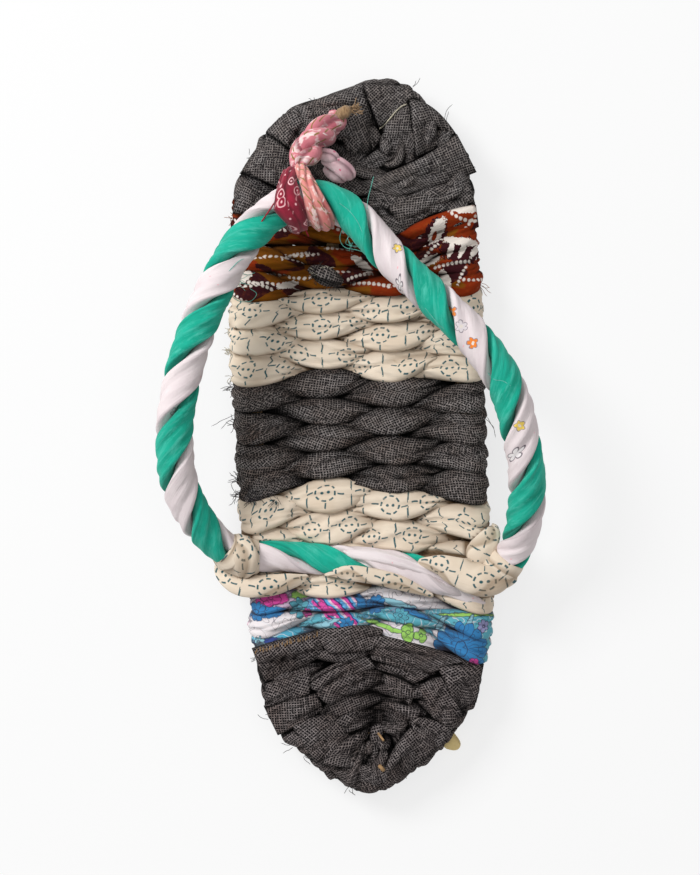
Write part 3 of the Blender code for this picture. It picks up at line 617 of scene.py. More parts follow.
def strand(name, centres, sizes, seed, laps, depth, around=26, flat=1.0, twist=0.0, deep=0.0):
    """A rolled strip of cloth along a route, drawn in to a rounded end at each side."""
    _, side, up = frames(centres)
    length = lengths_along(centres)
    t = around_section(around)
    ends = np.minimum(length, length[-1] - length) / np.maximum(sizes, 0.2)
    ends = np.sqrt(np.clip(1 - (1 - np.clip(ends, 0.0, 1.0)) ** 2, 0.0, 1.0))[:, None]
    spiral = (twist * length / 10.0)[:, None]
    fold = fold_steps(laps * t / (2 * np.pi) + spiral + 0.8 * drift(seed, length, 9.0)[:, None])
    size = sizes[:, None] * (1 + 0.10 * (rumple(seed + 1, length[:, None], t, 3.5, 7) - 0.5))
    size = (size + depth * (fold - 0.6)) * ends
    points = tube_points(centres, side, up, size * np.cos(t), size * np.sin(t) * flat)
    # fold drives painted shade in the laps' creases, and deep paints even shade over the whole strip.
    return cloth_tube(name, points, length, {"fold": fold, "deep": np.full((1, 1), deep)})


SOCKET_LEFT = 2.6   # how far left of the frame's own socket the cloth of the tie comes out


def tie_twist(name, finish, slot, node):
    """The toe tie: two rolled strips twisted together from the socket up to the strap."""
    turns = np.linspace(0.0, 1.2, 90)
    x, y, z, radius = (curve(turns) for curve in TIE_CURVES)
    x = x - SOCKET_LEFT * np.exp(-turns / 0.35)
    centres = np.stack([x, y, z], 1)
    _, side, up = frames(centres)
    shells = []
    for i, phase in enumerate((0.0, 0.5)):
        angle = 2 * np.pi * (turns * 1.08 + phase)
        offset = (radius * 0.44)[:, None]
        line = centres + side * offset * np.cos(angle)[:, None] + up * offset * np.sin(angle)[:, None]
        rolled = strand(name + "_strand", line, radius * 0.69, 71 + i, laps=1.3, depth=0.7, twist=0.45)
        shells.append(rolled)
    return join_shells(name, shells, finish, slot, node)


LEG_START, LEG_END = 12.0, 306.0    # degrees round the strap from its front, over the top


def leg_over_strap(name, x, front_lean, back_lean, half_width, spare, slot, node, seed, finish):
    """A strip that goes over the strap from the front, down behind it and back underneath."""
    trial = np.linspace(-0.2, 1.0, 200)
    turn = trial[np.argmin(np.abs(strap_at(trial)[0][:, 0] - x))]
    middle, half_strap, strap_height = (got[0] for got in strap_at([turn]))
    aside = strap_at([turn - 0.05])[0][0] - strap_at([turn + 0.05])[0][0]
    aside /= np.linalg.norm(aside)
    front = np.cross((0.0, 0.0, 1.0), aside)
    front /= np.linalg.norm(front)
    above = np.cross(aside, front)
    reach = max(half_strap, strap_height) + spare + 1.3
    degrees = np.linspace(LEG_START, LEG_END, 84)
    angle = np.radians(degrees)[:, None]
    outward = front * np.cos(angle) + above * np.sin(angle)
    lean = np.where(np.cos(angle) > 0, front_lean, back_lean)
    centres = middle + outward * reach + aside * lean * np.cos(angle)
    tie_end = np.array(TIE[-1][:3]) + (0.0, 1.0, 0.0)
    centres += (tie_end - centres) * (0.62 * smooth_step((66.0 - degrees) / 56.0))[:, None]
    widening = np.sin(np.radians(np.minimum(degrees - LEG_START, 90.0))) ** 2
    belly = 90.0 if spare < 1.3 else 140.0
    wide = half_width * (0.62 + 0.20 * widening) + 1.6 * np.exp(-(((degrees - belly) / 46.0) ** 2))
    length = lengths_along(centres)
    ends = np.sqrt(np.clip(np.minimum(length, length[-1] - length) / 2.2, 0.0, 1.0))[:, None]
    t = around_section(34)
    far = length[:, None]
    flat_side, rise = np.cos(t), np.sign(np.sin(t)) * np.abs(np.sin(t)) ** 0.8
    # fold also drives painted shade in the creases between laps.
    fold = fold_steps(2.4 * (flat_side * 0.5 + 0.5) + 1.1 * drift(seed, far, 12.0) + far / 55)
    thick = 2.1 + 0.9 * (fold - 0.5) + 0.5 * (rumple(seed + 1, far, t, 4.0, 9) - 0.5)
    across = flat_side * wide[:, None] * ends
    lift = rise * thick * ends
    points = centres[:, None, :] + aside * across[..., None] + outward[:, None, :] * lift[..., None]
    return join_shells(name, [cloth_tube(name, points, length, {"fold": fold})], finish, slot, node)


def edge_tufts(table):
    """Tufts given by their side of the sole and their row, as tufts given by their place."""
    tufts = []
    for side, row, *rest in table:
        x, y = plan(np.array(0.985 * side), np.array(float(row)))
        tufts.append((float(x), float(y), *rest))
    return tufts


HAIR_STEPS = 5


def hair_shells(tufts, seed):
    """Frayed ends: each tuft is x, y, z, heading in degrees, spread, count of hairs, length and radius."""
    chance = np.random.default_rng(seed)
    shells = []
    for x, y, z, heading, spread, count, length, radius in tufts:
        for _ in range(count):
            start = np.array((x, y, z)) + chance.uniform(-1.0, 1.0, 3) * (1.2, 1.2, 0.8)
            angle = math.radians(heading + chance.uniform(-1.0, 1.0) * spread)
            step = length * chance.uniform(0.45, 1.0) / HAIR_STEPS
            line = [start]
            for _ in range(HAIR_STEPS):
                angle += chance.uniform(-0.42, 0.42)
                ahead = (math.cos(angle), math.sin(angle), chance.uniform(-0.30, 0.34))
                line.append(line[-1] + step * np.array(ahead))
            line = np.array(line)
            line[:, 2] = np.maximum(line[:, 2], 0.5)
            shells.append(thread_shell(line, 0.72 * radius))
    return shells


def thread_shell(line, radius, count=9, around=5):
    """One thin thread through a few points."""
    centres, _ = smooth_route(np.concatenate([line, np.full((len(line), 1), radius)], 1), count)
    _, side, up = frames(centres)
    t = around_section(around)
    sizes = np.full((count, 1), radius)
    sizes[0], sizes[-1] = 0.0, 0.0
    points = tube_points(centres, side, up, sizes * np.cos(t), sizes * np.sin(t))
    return cloth_tube("thread", points, lengths_along(centres))


FOLD_STATIONS, FOLD_AROUND = 70, 34


def loose_fold(table, seed, flat, laps=1.8, depth=0.7, deep=0.0):
    """A flattened fold of cloth that lies over its neighbours, from points and half widths."""
    centres, sizes = smooth_route(table, FOLD_STATIONS)
    return strand("fold", centres, sizes, seed, laps, depth, around=FOLD_AROUND, flat=flat, deep=deep)


def heights_over(meshes):
    """A function that gives the top height in millimetres of a few meshes over a point of the sole."""
    trees = []
    for mesh in meshes:
        corners = [point.co for point in mesh.vertices]
        trees.append(BVHTree.FromPolygons(corners, [face.vertices for face in mesh.polygons]))

    def height(x, y):
        above, down = Vector(((x + SHIFT[0]) * MM, (y + SHIFT[1]) * MM, 0.1)), Vector((0.0, 0.0, -1.0))
        hits = [tree.ray_cast(above, down)[0] for tree in trees]
        return max([hit.z / MM for hit in hits if hit], default=np.nan)

    return height


def laid_on(height_at, line, off):
    """Points of a thread that lies on cloth, from x, y, without those past the cloth's edge."""
    line = np.array([(x, y, height_at(x, y) + off) for x, y in line])
    return line[~np.isnan(line[:, 2])]


HOLLOW_STEP = 0.5       # how finely the sole's top is measured for its hollows
HOLLOW_MARGIN = 12.0
EDGE_HEIGHT = 4.0       # a cell lower than this holds no top, and takes its neighbours'


def mark_hollows(pieces):
    """Gives each piece an attribute that says how far its cloth lies below the cloth around it."""
    places = []
    for piece in pieces:
        got = np.zeros(len(piece.data.vertices) * 3)
        piece.data.vertices.foreach_get("co", got)
        places.append(got.reshape(-1, 3) / MM)
    everything = np.concatenate(places)
    corner = everything[:, :2].min(0) - HOLLOW_MARGIN
    size = ((everything[:, :2].max(0) + HOLLOW_MARGIN - corner) / HOLLOW_STEP).astype(int) + 1
    top = np.zeros(size)
    cell = ((everything[:, :2] - corner) / HOLLOW_STEP + 0.5).astype(int)
    np.maximum.at(top, (cell[:, 0], cell[:, 1]), everything[:, 2])
    for _ in range(2):
        around = np.max([np.roll(top, shift, axis) for shift in (-1, 1) for axis in (0, 1)], axis=0)
        top = np.where(top < EDGE_HEIGHT, around, top)

    def soften(heights, width):
        reach = np.arange(-int(3 * width / HOLLOW_STEP), int(3 * width / HOLLOW_STEP) + 1)
        weight = np.exp(-0.5 * (reach * HOLLOW_STEP / width) ** 2)
        weight /= weight.sum()
        for axis in (0, 1):
            heights = sum(w * np.roll(heights, shift, axis) for w, shift in zip(weight, reach))
        return heights

    near, wide = soften(top, 0.9), soften(top, 3.2)
    for piece, place in zip(pieces, places):
        cell = ((place[:, :2] - corner) / HOLLOW_STEP + 0.5).astype(int)
        below_near = near[cell[:, 0], cell[:, 1]] - place[:, 2]
        below_wide = wide[cell[:, 0], cell[:, 1]] - place[:, 2]
        hollow = np.clip((below_near - 0.10) / 0.95, 0.0, 1.0)
        hollow = hollow + 0.65 * np.clip((below_wide - 0.7) / 3.2, 0.0, 1.0)
        # The finishes paint shade by this attribute: darker in the hollows.
        made = piece.data.attributes.new("hollow", "FLOAT", "POINT")
        made.data.foreach_set("value", np.clip(hollow, 0.0, 1.0))


LEAF_STATIONS, LEAF_AROUND = 50, 44
LEAF_DROP = 3.0     # how far a leaf's edge falls below its face
LEAF_DRAWN_IN = 0.992   # draws the leaves in towards the sole's middle, inside its edge
LEAF_ROUND = 1.3    # how far in from its ends that fall begins
FACE_STIFFNESS = 2.0
CLEARED = 72        # percentage of the cloth under it that a leaf clears


def cloth_leaf(corners, swell, seed, height_at, stand=1.0):
    """A flat fold with creased edges, draped over the cloth under it.

    corners are x, y and how far each stands off that cloth; the first and second are one long side's ends,
    the fourth and third the other's.  swell is how far each of those sides bows outwards, and stand deepens
    the steps between one fold and the next.
    """
    first, second, third, fourth = np.array(corners, float) * (1.0, 1.0, stand)
    s = (0.5 - 0.5 * np.cos(np.linspace(0.0, np.pi, LEAF_STATIONS)))[:, None]
    turn = around_section(LEAF_AROUND)
    side, up = np.cos(turn), np.sin(turn)

    def at(s, a):
        one, other = first + (second - first) * s[..., None], fourth + (third - fourth) * s[..., None]
        apart = (first + second - third - fourth)[:2] / 2
        apart = np.append(apart / np.hypot(*apart), 0.0)
        one = one + apart * swell[0] * (4 * s * (1 - s))[..., None]
        other = other - apart * swell[1] * (4 * s * (1 - s))[..., None]
        return other + (one - other) * a[..., None]

    # A smooth face fitted to the cloth underneath.
    grid = np.stack(np.meshgrid(np.linspace(0.1, 0.9, 11), np.linspace(0.1, 0.9, 9)), -1).reshape(-1, 2)
    under = at(grid[:, 0], grid[:, 1])
    found = np.array([height_at(x, y) for x, y, _ in under])
    known = found > 5.0
    centre = under[:, :2].mean(0)

    def terms(x, y):
        x, y = (x - centre[0]) / 10.0, (y - centre[1]) / 10.0
        return np.stack([np.ones_like(x), x, y, x * x, x * y, y * y], -1)

    measures = terms(under[known, 0], under[known, 1])
    matrix = np.concatenate([measures, FACE_STIFFNESS * np.diag((0, 0.4, 0.4, 1, 1, 1))])
    fit = np.linalg.lstsq(matrix, np.append(found[known], np.zeros(6)), rcond=None)[0]
    gap = np.percentile(found[known] - measures @ fit, CLEARED)

    share = 0.5 + 0.5 * side
    place = at(s * np.ones_like(side), share * np.ones_like(s))
    x, y, lift = place[..., 0], place[..., 1], place[..., 2]
    middle = at(s[:, 0], np.full(LEAF_STATIONS, 0.5))
    length = lengths_along(middle * (1.0, 1.0, 0.0))
    edges = [at(s[:, 0], np.full(LEAF_STATIONS, edge)) for edge in (1.0, 0.0)]
    width = np.linalg.norm((edges[0] - edges[1])[:, :2], axis=1)[:, None]
    from_end = np.minimum(length, length[-1] - length)[:, None]
    end = np.sqrt(np.clip(1 - (1 - np.clip(from_end / LEAF_ROUND, 0.0, 1.0)) ** 2, 0.0, 1.0))
    face = np.clip(terms(x, y) @ fit, 4.0, 24.0) + gap + 0.3 + lift

    # Soft dents, and a few sharp pleats that run along the leaf.
    draw = np.random.default_rng(seed)
    wave = 1.15 * (rumple(seed + 1, length[:, None], turn, 6.5, 7) - 0.5)
    wave += 0.40 * (rumple(seed + 2, length[:, None], turn, 2.6, 17) - 0.5)
    fold = np.ones_like(wave)
    for _ in range(3):
        begin, finish = draw.uniform(0.12, 0.88, 2)
        strength = draw.uniform(0.55, 1.25)
        strength = strength * np.clip(1.6 * np.sin(np.pi * (s + draw.uniform(-0.35, 0.35))), 0.0, 1.0)
        off = (share - begin - (finish - begin) * s) * width
        wave += strength * (0.5 * np.tanh(off / 0.5) - 0.8 * np.exp(-np.abs(off) / 0.45))
        fold = np.minimum(fold, 1 - 0.9 * strength * np.exp(-((off / 0.42) ** 2)))
    top = np.abs(up) ** 0.48 * end
    z = np.where(up > 0, face + wave * top - LEAF_DROP * (1 - top), face - LEAF_DROP - 1.0 * top)
    z = np.maximum(z, 0.6)
    # Painted shade: deep darkens the leaf's fallen edges, its dents and its tucked-under corners, and fold
    # its pleats.
    deep = 0.85 * (1 - top) - 0.12 * np.minimum(wave, 0.0) + 0.11 * np.clip(-lift, 0.0, 4.0)
    places = np.stack([x, y, z], 2) * (LEAF_DRAWN_IN, LEAF_DRAWN_IN, 1.0)
    for column in (0, LEAF_AROUND // 2):
        places[[0, -1], column] = places[[0, -1], column + 1]
    attributes = {"fold": np.clip(fold, 0.0, 1.0), "deep": np.clip(deep, 0.0, 1.0)}
    return cloth_tube("leaf", places, length, attributes, lap=np.full(x.shape, seed % LAYER_CHANCES))


# ---------------------------------------------------------------- finishes

class Value:
    """A node's number or colour, which is added, multiplied and so on as a number is."""

    def __init__(self, make, socket):
        self.make, self.socket = make, socket

    def __add__(self, other):
        return self.make.op("ADD", self, other)

    def __sub__(self, other):
        return self.make.op("SUBTRACT", self, other)

    def __mul__(self, other):
        return self.make.op("MULTIPLY", self, other)

    def __truediv__(self, other):
        return self.make.op("DIVIDE", self, other)

    def __mod__(self, other):
        return self.make.op("MODULO", self, other)

    def __abs__(self):
        return self.make.op("ABSOLUTE", self)


class Place(Value):
    """A node's vector, in millimetres."""

    def __add__(self, other):
        return self.make.vector("ADD", self, other)

    def __sub__(self, other):
        return self.make.vector("SUBTRACT", self, other)

    def times(self, number):
        made = self.make.node("VectorMath", {0: self, "Scale": number}, operation="SCALE")
        return Place(self.make, made.outputs[0])

    def length(self):
        made = self.make.node("VectorMath", (self,), operation="LENGTH")
        return Value(self.make, made.outputs[1])

    def parts(self):
        return [Value(self.make, output) for output in self.make.node("SeparateXYZ", (self,)).outputs]


SHEEN_ROUGHNESS, COTTON_GLOSS = 0.6, 0.08
COTTON_PITCH = 0.42     # from one thread of plain cotton to the next but one


class Finish:
    """A cloth or rope material, built from nodes.

    cloth is the place on the strip itself, along it and round it, and body the place on the sandal, both in
    millimetres.
    """

    def __init__(self, name, base, roughness, sheen=0.0):
        self.material = bpy.data.materials.new(name)
        self.material.use_nodes = True
        self.material.diffuse_color = (*base, 1.0)
        self.tree = self.material.node_tree
        self.shader = self.tree.nodes["Principled BSDF"]
        settings = {"Roughness": roughness, "Sheen Weight": sheen, "Sheen Roughness": SHEEN_ROUGHNESS,
                    "Specular IOR Level": COTTON_GLOSS}
        for socket, number in settings.items():
            self.shader.inputs[socket].default_value = number
        strip, body = self.node("UVMap", ()).outputs[0], self.node("TexCoord", ()).outputs["Object"]
        self.cloth = self.moved(Place(self, strip), scale=(1000.0, 1000.0, 1000.0))
        self.body = self.moved(Place(self, body), scale=(1000.0, 1000.0, 1000.0))

    def put(self, socket, value):
        if isinstance(value, Value):
            self.tree.links.new(value.socket, socket)
        elif isinstance(value, tuple) and socket.type == "RGBA":
            socket.default_value = (*value, 1.0)
        else:
            socket.default_value = value

    def node(self, kind, values, **settings):
        """A new node, with values for its inputs in their order or by name."""
        made = self.tree.nodes.new("ShaderNode" + kind)
        for key, setting in settings.items():
            setattr(made, key, setting)
        for key, value in values.items() if isinstance(values, dict) else enumerate(values):
            self.put(made.inputs[key], value)
        return made

    def op(self, operation, *values):
        return Value(self, self.node("Math", values, operation=operation).outputs[0])

    def vector(self, operation, *values):
        return Place(self, self.node("VectorMath", values, operation=operation).outputs[0])

    def sine(self, value):
        return self.op("SINE", value)

    def either(self, first, *others):
        for other in others:
            first = self.op("MAXIMUM", first, other)
        return first

    def mix(self, share, below, above, blend="MIX"):
        made = self.node("Mix", {0: share, 6: below, 7: above}, data_type="RGBA", blend_type=blend)
        return Value(self, made.outputs[2])

    def laid(self, colour, where, *coats):
        """Coats of colour, each a mask and its shade, laid only where the first mask says."""
        for mask, shade in coats:
            colour = self.mix(mask * where, colour, shade)
        return colour

    def painted_fold_light(self, colour, *coats):
        """Painted shade and highlights in folds: attribute, its range, the share at each end, shade."""
        for name, low, high, share_low, share_high, shade in coats:
            share = self.spread(self.attribute(name), low, high, share_low, share_high)
            colour = self.mix(share, colour, shade)
        return colour

    def spread(self, value, low, high, to_low=0.0, to_high=1.0):
        return Value(self, self.node("MapRange", (value, low, high, to_low, to_high)).outputs[0])

    def below(self, value, low, high):
        """1 up to the first number, 0 past the second."""
        return self.spread(value, low, high, 1.0, 0.0)

    def line(self, value, half, soft=0.10):
        return self.below(abs(value), half - soft, half + soft)

    def dot(self, x, y, radius, soft=0.12):
        return self.below(self.join(x, y).length(), radius - soft, radius + soft)

    def moved(self, place, scale=(1.0, 1.0, 1.0), shift=(0.0, 0.0, 0.0), turn=0.0):
        turned = (0.0, 0.0, math.radians(turn))
        return Place(self, self.node("Mapping", (place, shift, turned, scale)).outputs[0])

    def join(self, x, y, z=0.0):
        return Place(self, self.node("CombineXYZ", (x, y, z)).outputs[0])

    def attribute(self, name, output="Fac"):
        return Value(self, self.node("Attribute", (), attribute_name=name).outputs[output])

    def clouds(self, place, scale, detail, rough):
        values = {"Vector": place, "Scale": scale, "Detail": detail, "Roughness": rough}
        return self.node("TexNoise", values).outputs

    def noise(self, place, scale, detail=2.0, rough=0.5):
        return Value(self, self.clouds(place, scale, detail, rough)[0])

    def shaken(self, place, size, scale):
        """A place that wanders a little, as hand-cut cloth does."""
        wander = Place(self, self.clouds(place, scale, 1.0, 0.5)[1])
        return place + (wander - (0.5, 0.5, 0.5)).times(size)

    def on_the_sole(self, place, x, y, turn=0.0):
        """Millimetres from a point of the sole, along a line at an angle and aside of it."""
        away = place - (x + SHIFT[0], y + SHIFT[1], 0.0)
        return self.moved(away, turn=-turn) if turn else away

    def finish(self, colour, height, strength, distance):
        """Joins the colour and the cloth's own relief to the shader."""
        bump = self.node("Bump", {"Strength": strength, "Distance": distance * MM, "Height": height})
        self.put(self.shader.inputs["Base Color"], colour)
        self.put(self.shader.inputs["Normal"], Value(self, bump.outputs[0]))
        return self.material

    def cotton(self, colour, streak, streaks=1.6, strength=0.5):
        """Joins the colour to a plain weave's relief, with pulled streaks along the strip."""
        x, y, _ = self.cloth.parts()
        turn = 2 * math.pi / COTTON_PITCH
        weave = self.sine(x * turn) * self.sine(y * turn) * 0.5 + 0.5
        pulled = self.noise(self.moved(self.cloth, scale=(*streak, 1.0)), 1.0, 3.0, 0.6)
        return self.finish(colour, weave * 0.25 + pulled * streaks, strength, 0.3)


def scaled(colour, share):
    return tuple(share * part for part in colour)


def slub_cloth(name, dark, pale, brown, pitch, painted_black_at=0.75):
    """Rough grey cotton: pale slubby threads both ways on a dark ground; painted shade in its creases."""
    make = Finish(name, dark, 0.95)
    place = make.shaken(make.shaken(make.cloth, 2.0, 0.06), 0.22, 0.6)
    x, y, _ = place.parts()
    threads = []
    for run, cross in ((x, y), (y, x)):
        ridge = make.spread(make.sine(cross * (2 * math.pi / pitch)), 0.10, 0.95)
        streak = make.noise(make.join(run * 0.62, cross * (0.9 / pitch)), 1.0, 2.0, 0.7)
        weave = make.spread(make.sine(run * (math.pi / pitch)), -1.0, 1.0, 0.65, 1.0)
        threads.append(ridge * weave * make.spread(streak, 0.38, 0.62, 0.12, 1.30))
    tone = make.mix(make.spread(make.noise(make.cloth, 0.07, 3.0, 0.6), 0.35, 0.7), pale, brown)
    ground = make.mix(make.spread(make.noise(place, 0.9), 0.3, 0.75), dark, scaled(dark, 2.0))
    colour = make.mix(make.either(*threads), ground, tone)
    # Painted shade: the colour is multiplied darker in creases, depths and hollows, near black in the
    # deepest.
    crease = make.spread(make.attribute("fold"), 0.08, 0.46, 0.22, 1.0)
    crease = crease * make.spread(make.attribute("deep"), 0.12, 0.72, 1.0, 0.06)
    crease = crease * make.spread(make.attribute("hollow"), 0.04, painted_black_at, 1.0, 0.08)
    colour = make.mix(1.0, colour, make.join(crease, crease, crease), "MULTIPLY")
    return make.finish(colour, threads[0] + threads[1], 0.7, 0.35)


def plain_cloth(name, base, shade, pale, spots=None, worn=0.2):
    """Smooth dyed cotton with soft fading, painted highlights on fold edges and painted shade in creases."""
    make = Finish(name, base, 0.78, 0.08)
    fade = make.noise(make.cloth, 0.11, 3.0, 0.6)
    colour = make.mix(make.spread(fade, 0.35, 0.7), base, shade)
    rubbed = make.moved(make.shaken(make.cloth, 3.0, 0.15), scale=(0.15, 0.42, 1.0))
    rubbed = make.spread(make.noise(rubbed, 1.0, 4.0, 0.7), 0.47, 0.72)
    rubbed = rubbed * make.spread(fade, 0.40, 0.62, 0.25, 1.0)
    colour = make.mix(rubbed * worn, colour, pale)
    # Painted highlight on the fold edges and painted shade in the creases.
    colour = make.painted_fold_light(colour, ("fold", 0.86, 1.0, 0.0, 0.35, pale),
                           ("fold", 0.02, 0.4, 0.75, 0.0, scaled(shade, 0.45)))
    return make.cotton(spots(make, colour) if spots else colour, (0.10, 1.1))


def away_from_cell(make, place, every, loose):
    """Millimetres from the middle of the nearest cell, and two random numbers of that cell's own."""
    cell = make.node("TexVoronoi", {"Vector": place, "Scale": 1.0 / every, "Randomness": loose})
    return place - Place(make, cell.outputs["Position"]), Place(make, cell.outputs["Color"]).parts()[:2]


def petals(make, away, count, size, depth):
    """How far inside a flower's edge a point lies: above 0 inside, in millimetres."""
    x, y, _ = away.parts()
    lobe = abs(make.sine(make.op("ARCTAN2", y, x) * (count / 2)))
    return lobe * (size * depth) + size * (1 - depth) - away.length()


# Flowers on the white strip where it shows from above: x, y, size, petals, colour.
ORANGE, YELLOW, FADED = (0.80, 0.22, 0.03), (0.80, 0.58, 0.12), (0.70, 0.64, 0.66)
STRAP_FLOWERS = (
    (-36.4, 71.6, 1.9, 5, ORANGE), (-39.0, 67.0, 1.8, 5, FADED), (14.4, 61.8, 1.7, 5, YELLOW),
    (31.2, 39.8, 2.0, 5, ORANGE), (34.4, 34.8, 2.1, 6, FADED), (37.8, 29.0, 1.9, 5, ORANGE),
    (-61.4, 10.0, 1.9, 5, FADED), (52.4, 1.0, 1.9, 5, YELLOW),
)


def strap_print(make, colour):
    """Tiny pink dots, and here and there a small flower with a dark outline."""
    away, _ = away_from_cell(make, make.cloth, 5.2, 1.0)
    colour = make.mix(make.below(away.length(), 0.22, 0.36) * 0.8, colour, (0.85, 0.33, 0.38))
    away, (chance, hue) = away_from_cell(make, make.moved(make.cloth, shift=(3.0, 5.0, 0.0)), 23.0, 0.75)
    inside = petals(make, away, 5, 3.4, 0.35)
    flower = make.mix(make.spread(hue, 0.45, 0.5), (0.86, 0.66, 0.10), (0.80, 0.76, 0.76))
    colour = make.laid(
        colour, make.below(chance, 0.62, 0.64), (make.spread(inside, 0.0, 0.2), flower),
        (make.below(away.length(), 1.0, 1.2), (0.88, 0.27, 0.05)),
        (make.line(inside, 0.20), (0.13, 0.11, 0.13)))
    x, y, z = make.shaken(make.body, 1.3, 0.45).parts()
    flat, upper = make.join(x, y), make.spread(z, 30.0, 32.0)
    for x, y, size, count, shade in STRAP_FLOWERS:
        away = make.on_the_sole(flat, x, y)
        inside = petals(make, away, count, size, 0.40)
        heart = make.below(away.length(), 0.26 * size, 0.34 * size)
        colour = make.laid(
            colour, upper, (make.spread(inside, 0.0, 0.2), shade),
            (make.line(inside, 0.13), (0.19, 0.16, 0.19)), (heart, (0.75, 0.68, 0.62)))
    return colour


def ragged_patches(make, colour, flat, upper, jagged, table, ink=None):
    """Patches with toothed edges at places on the sole: x, y, half length, half width, turn, colour."""
    for x, y, half_length, half_width, turn, shade in table:
        along, aside, _ = make.on_the_sole(flat, x, y, turn).parts()
        far = make.join(along / half_length, aside / half_width).length()
        ragged = (jagged - 0.5) * 1.1 + far
        colour = make.laid(colour, upper, (make.below(ragged, 0.96, 1.02), shade))
        if ink:
            outline = make.line(ragged - 1.0, 0.16 / half_width, 0.07)
            colour = make.laid(colour, upper, (outline * 0.7, ink))
    return colour


WAX_WHITE, WAX_MAROON = (0.72, 0.65, 0.59), (0.036, 0.006, 0.009)
WAX_RUST, WAX_GOLD = (0.215, 0.024, 0.004), (0.190, 0.064, 0.004)
# The batik's top: x, y, half length, half width, turn, colour.
WAX_LEAVES = (
    (28.0, 67.5, 6.0, 3.6, 65.0, WAX_MAROON), (38.0, 75.6, 5.0, 1.7, -8.0, WAX_WHITE),
    (28.6, 68.4, 4.9, 2.2, 62.0, WAX_WHITE), (27.6, 66.8, 1.8, 0.7, 70.0, WAX_RUST),
    (36.4, 61.6, 7.6, 4.6, -10.0, WAX_MAROON), (36.8, 64.6, 6.6, 1.4, -9.0, WAX_WHITE),
    (33.0, 62.0, 2.9, 1.0, 70.0, WAX_WHITE), (36.9, 61.6, 2.9, 0.9, 64.0, WAX_WHITE),
    (41.2, 61.2, 2.8, 1.0, 58.0, WAX_WHITE), (25.8, 58.6, 4.2, 1.5, 20.0, WAX_WHITE),
    (33.6, 55.0, 5.6, 2.2, 35.0, WAX_MAROON), (30.6, 52.4, 3.2, 1.5, -62.0, WAX_WHITE),
    (6.6, 59.6, 4.6, 2.6, -30.0, WAX_MAROON), (2.6, 58.4, 4.4, 1.4, -42.0, WAX_WHITE),
    (-38.0, 55.6, 3.4, 1.6, 30.0, WAX_WHITE), (-31.0, 58.6, 3.0, 1.0, -20.0, WAX_MAROON),
    (-23.0, 52.4, 4.0, 1.2, 10.0, WAX_WHITE),
)
# Beaded lines there: x, y, half length, bow, turn, radius of a bead.
WAX_BEADS = (
    (37.4, 72.0, 5.6, -1.4, -20.0, 0.62), (25.4, 61.4, 4.4, 0.8, 48.0, 0.56),
    (33.0, 57.2, 6.4, 0.5, 8.0, 0.55), (36.2, 53.2, 3.8, 0.4, 62.0, 0.50),
    (-4.8, 64.2, 5.2, 0.6, -6.0, 0.62), (1.6, 54.6, 4.6, 0.6, 12.0, 0.55),
    (5.4, 51.6, 7.0, 0.7, -8.0, 0.62), (-34.0, 53.4, 6.6, 1.0, -16.0, 0.60),
    (-20.0, 62.6, 5.0, 0.7, 10.0, 0.52), (-38.6, 72.0, 4.6, 0.5, 70.0, 0.50),
    (12.0, 63.4, 4.0, 0.6, 30.0, 0.50),
)


def batik_cloth():
    """Rust, golden and dark maroon patches with rows of wax dots and pale toothed leaves."""
    make = Finish("batik_print", (0.165, 0.05, 0.006), 0.92)
    place = make.shaken(make.cloth, 4.0, 0.07)
    body_x, body_y, _ = make.body.parts()
    golden = make.spread(body_x, 16.0, -6.0, -0.06, 0.11) + make.spread(body_x, -24.0, -34.0, 0.0, -0.14)
    golden = golden + make.spread(body_y, 66.0, 71.0, 0.0, -0.12)
    golden = golden + make.noise(make.moved(place, scale=(0.6, 1.3, 1.0)), 0.085)
    colour = make.mix(make.spread(golden, 0.50, 0.54), WAX_RUST, WAX_GOLD)
    dark = make.noise(make.moved(place, shift=(31.0, 7.0, 0.0)), 0.075, 0.0)
    dark = dark + make.spread(body_x, 0.0, 30.0, 0.0, 0.05)
    colour = make.mix(make.spread(dark, 0.590, 0.600), colour, WAX_MAROON)
    mottled = make.noise(make.cloth, 0.5, 3.0, 0.65)
    colour = make.mix(make.spread(mottled, 0.5, 0.8, 0.0, 0.4), colour, (0.30, 0.075, 0.014))
    # Rows of wax dots along wandering lines.
    x, y, _ = make.cloth.parts()
    lane = make.op("ROUND", y / 7.6)
    off_lane = make.sine(x * 0.17 + lane * 2.1) * 1.7 + (lane * -7.6 + y)
    beads = (x + 4000.0) % 1.95 - 0.975
    kept = make.spread(make.noise(make.join(x * 0.05, lane * 3.7), 1.0, 0.0), 0.46, 0.48)
    colour = make.laid(colour, kept, (make.dot(beads, off_lane, 0.62, 0.14), WAX_WHITE))
    # Toothed leaves, maroon patches and beaded lines that show on the top.
    x, y, z = make.shaken(make.body, 0.45, 1.6).parts()
    flat, upper = make.join(x, y), make.spread(z, 6.5, 8.0)
    colour = ragged_patches(make, colour, flat, upper, make.noise(make.body, 0.85, 2.0, 0.7), WAX_LEAVES)
    for x, y, half_length, bow, turn, bead in WAX_BEADS:
        along, aside, _ = make.on_the_sole(flat, x, y, turn).parts()
        bent = aside + make.op("POWER", along / half_length, 2.0) * bow
        spaced = (along + 400.0) % (2.7 * bead) - 1.35 * bead
        beads = make.dot(spaced, bent, bead, 0.14) * make.line(along, half_length)
        colour = make.laid(colour, upper, (beads, WAX_WHITE))
    # Painted shade in the creases, depths and hollows.
    shade = (0.016, 0.006, 0.003)
    colour = make.painted_fold_light(colour, ("fold", 0.02, 0.5, 0.8, 0.0, shade),
                           ("deep", 0.15, 0.9, 0.0, 0.9, shade),
                           ("hollow", 0.12, 0.95, 0.0, 0.90, (0.014, 0.005, 0.002)))
    return make.cotton(colour, (0.12, 1.2), 1.8, 0.55)


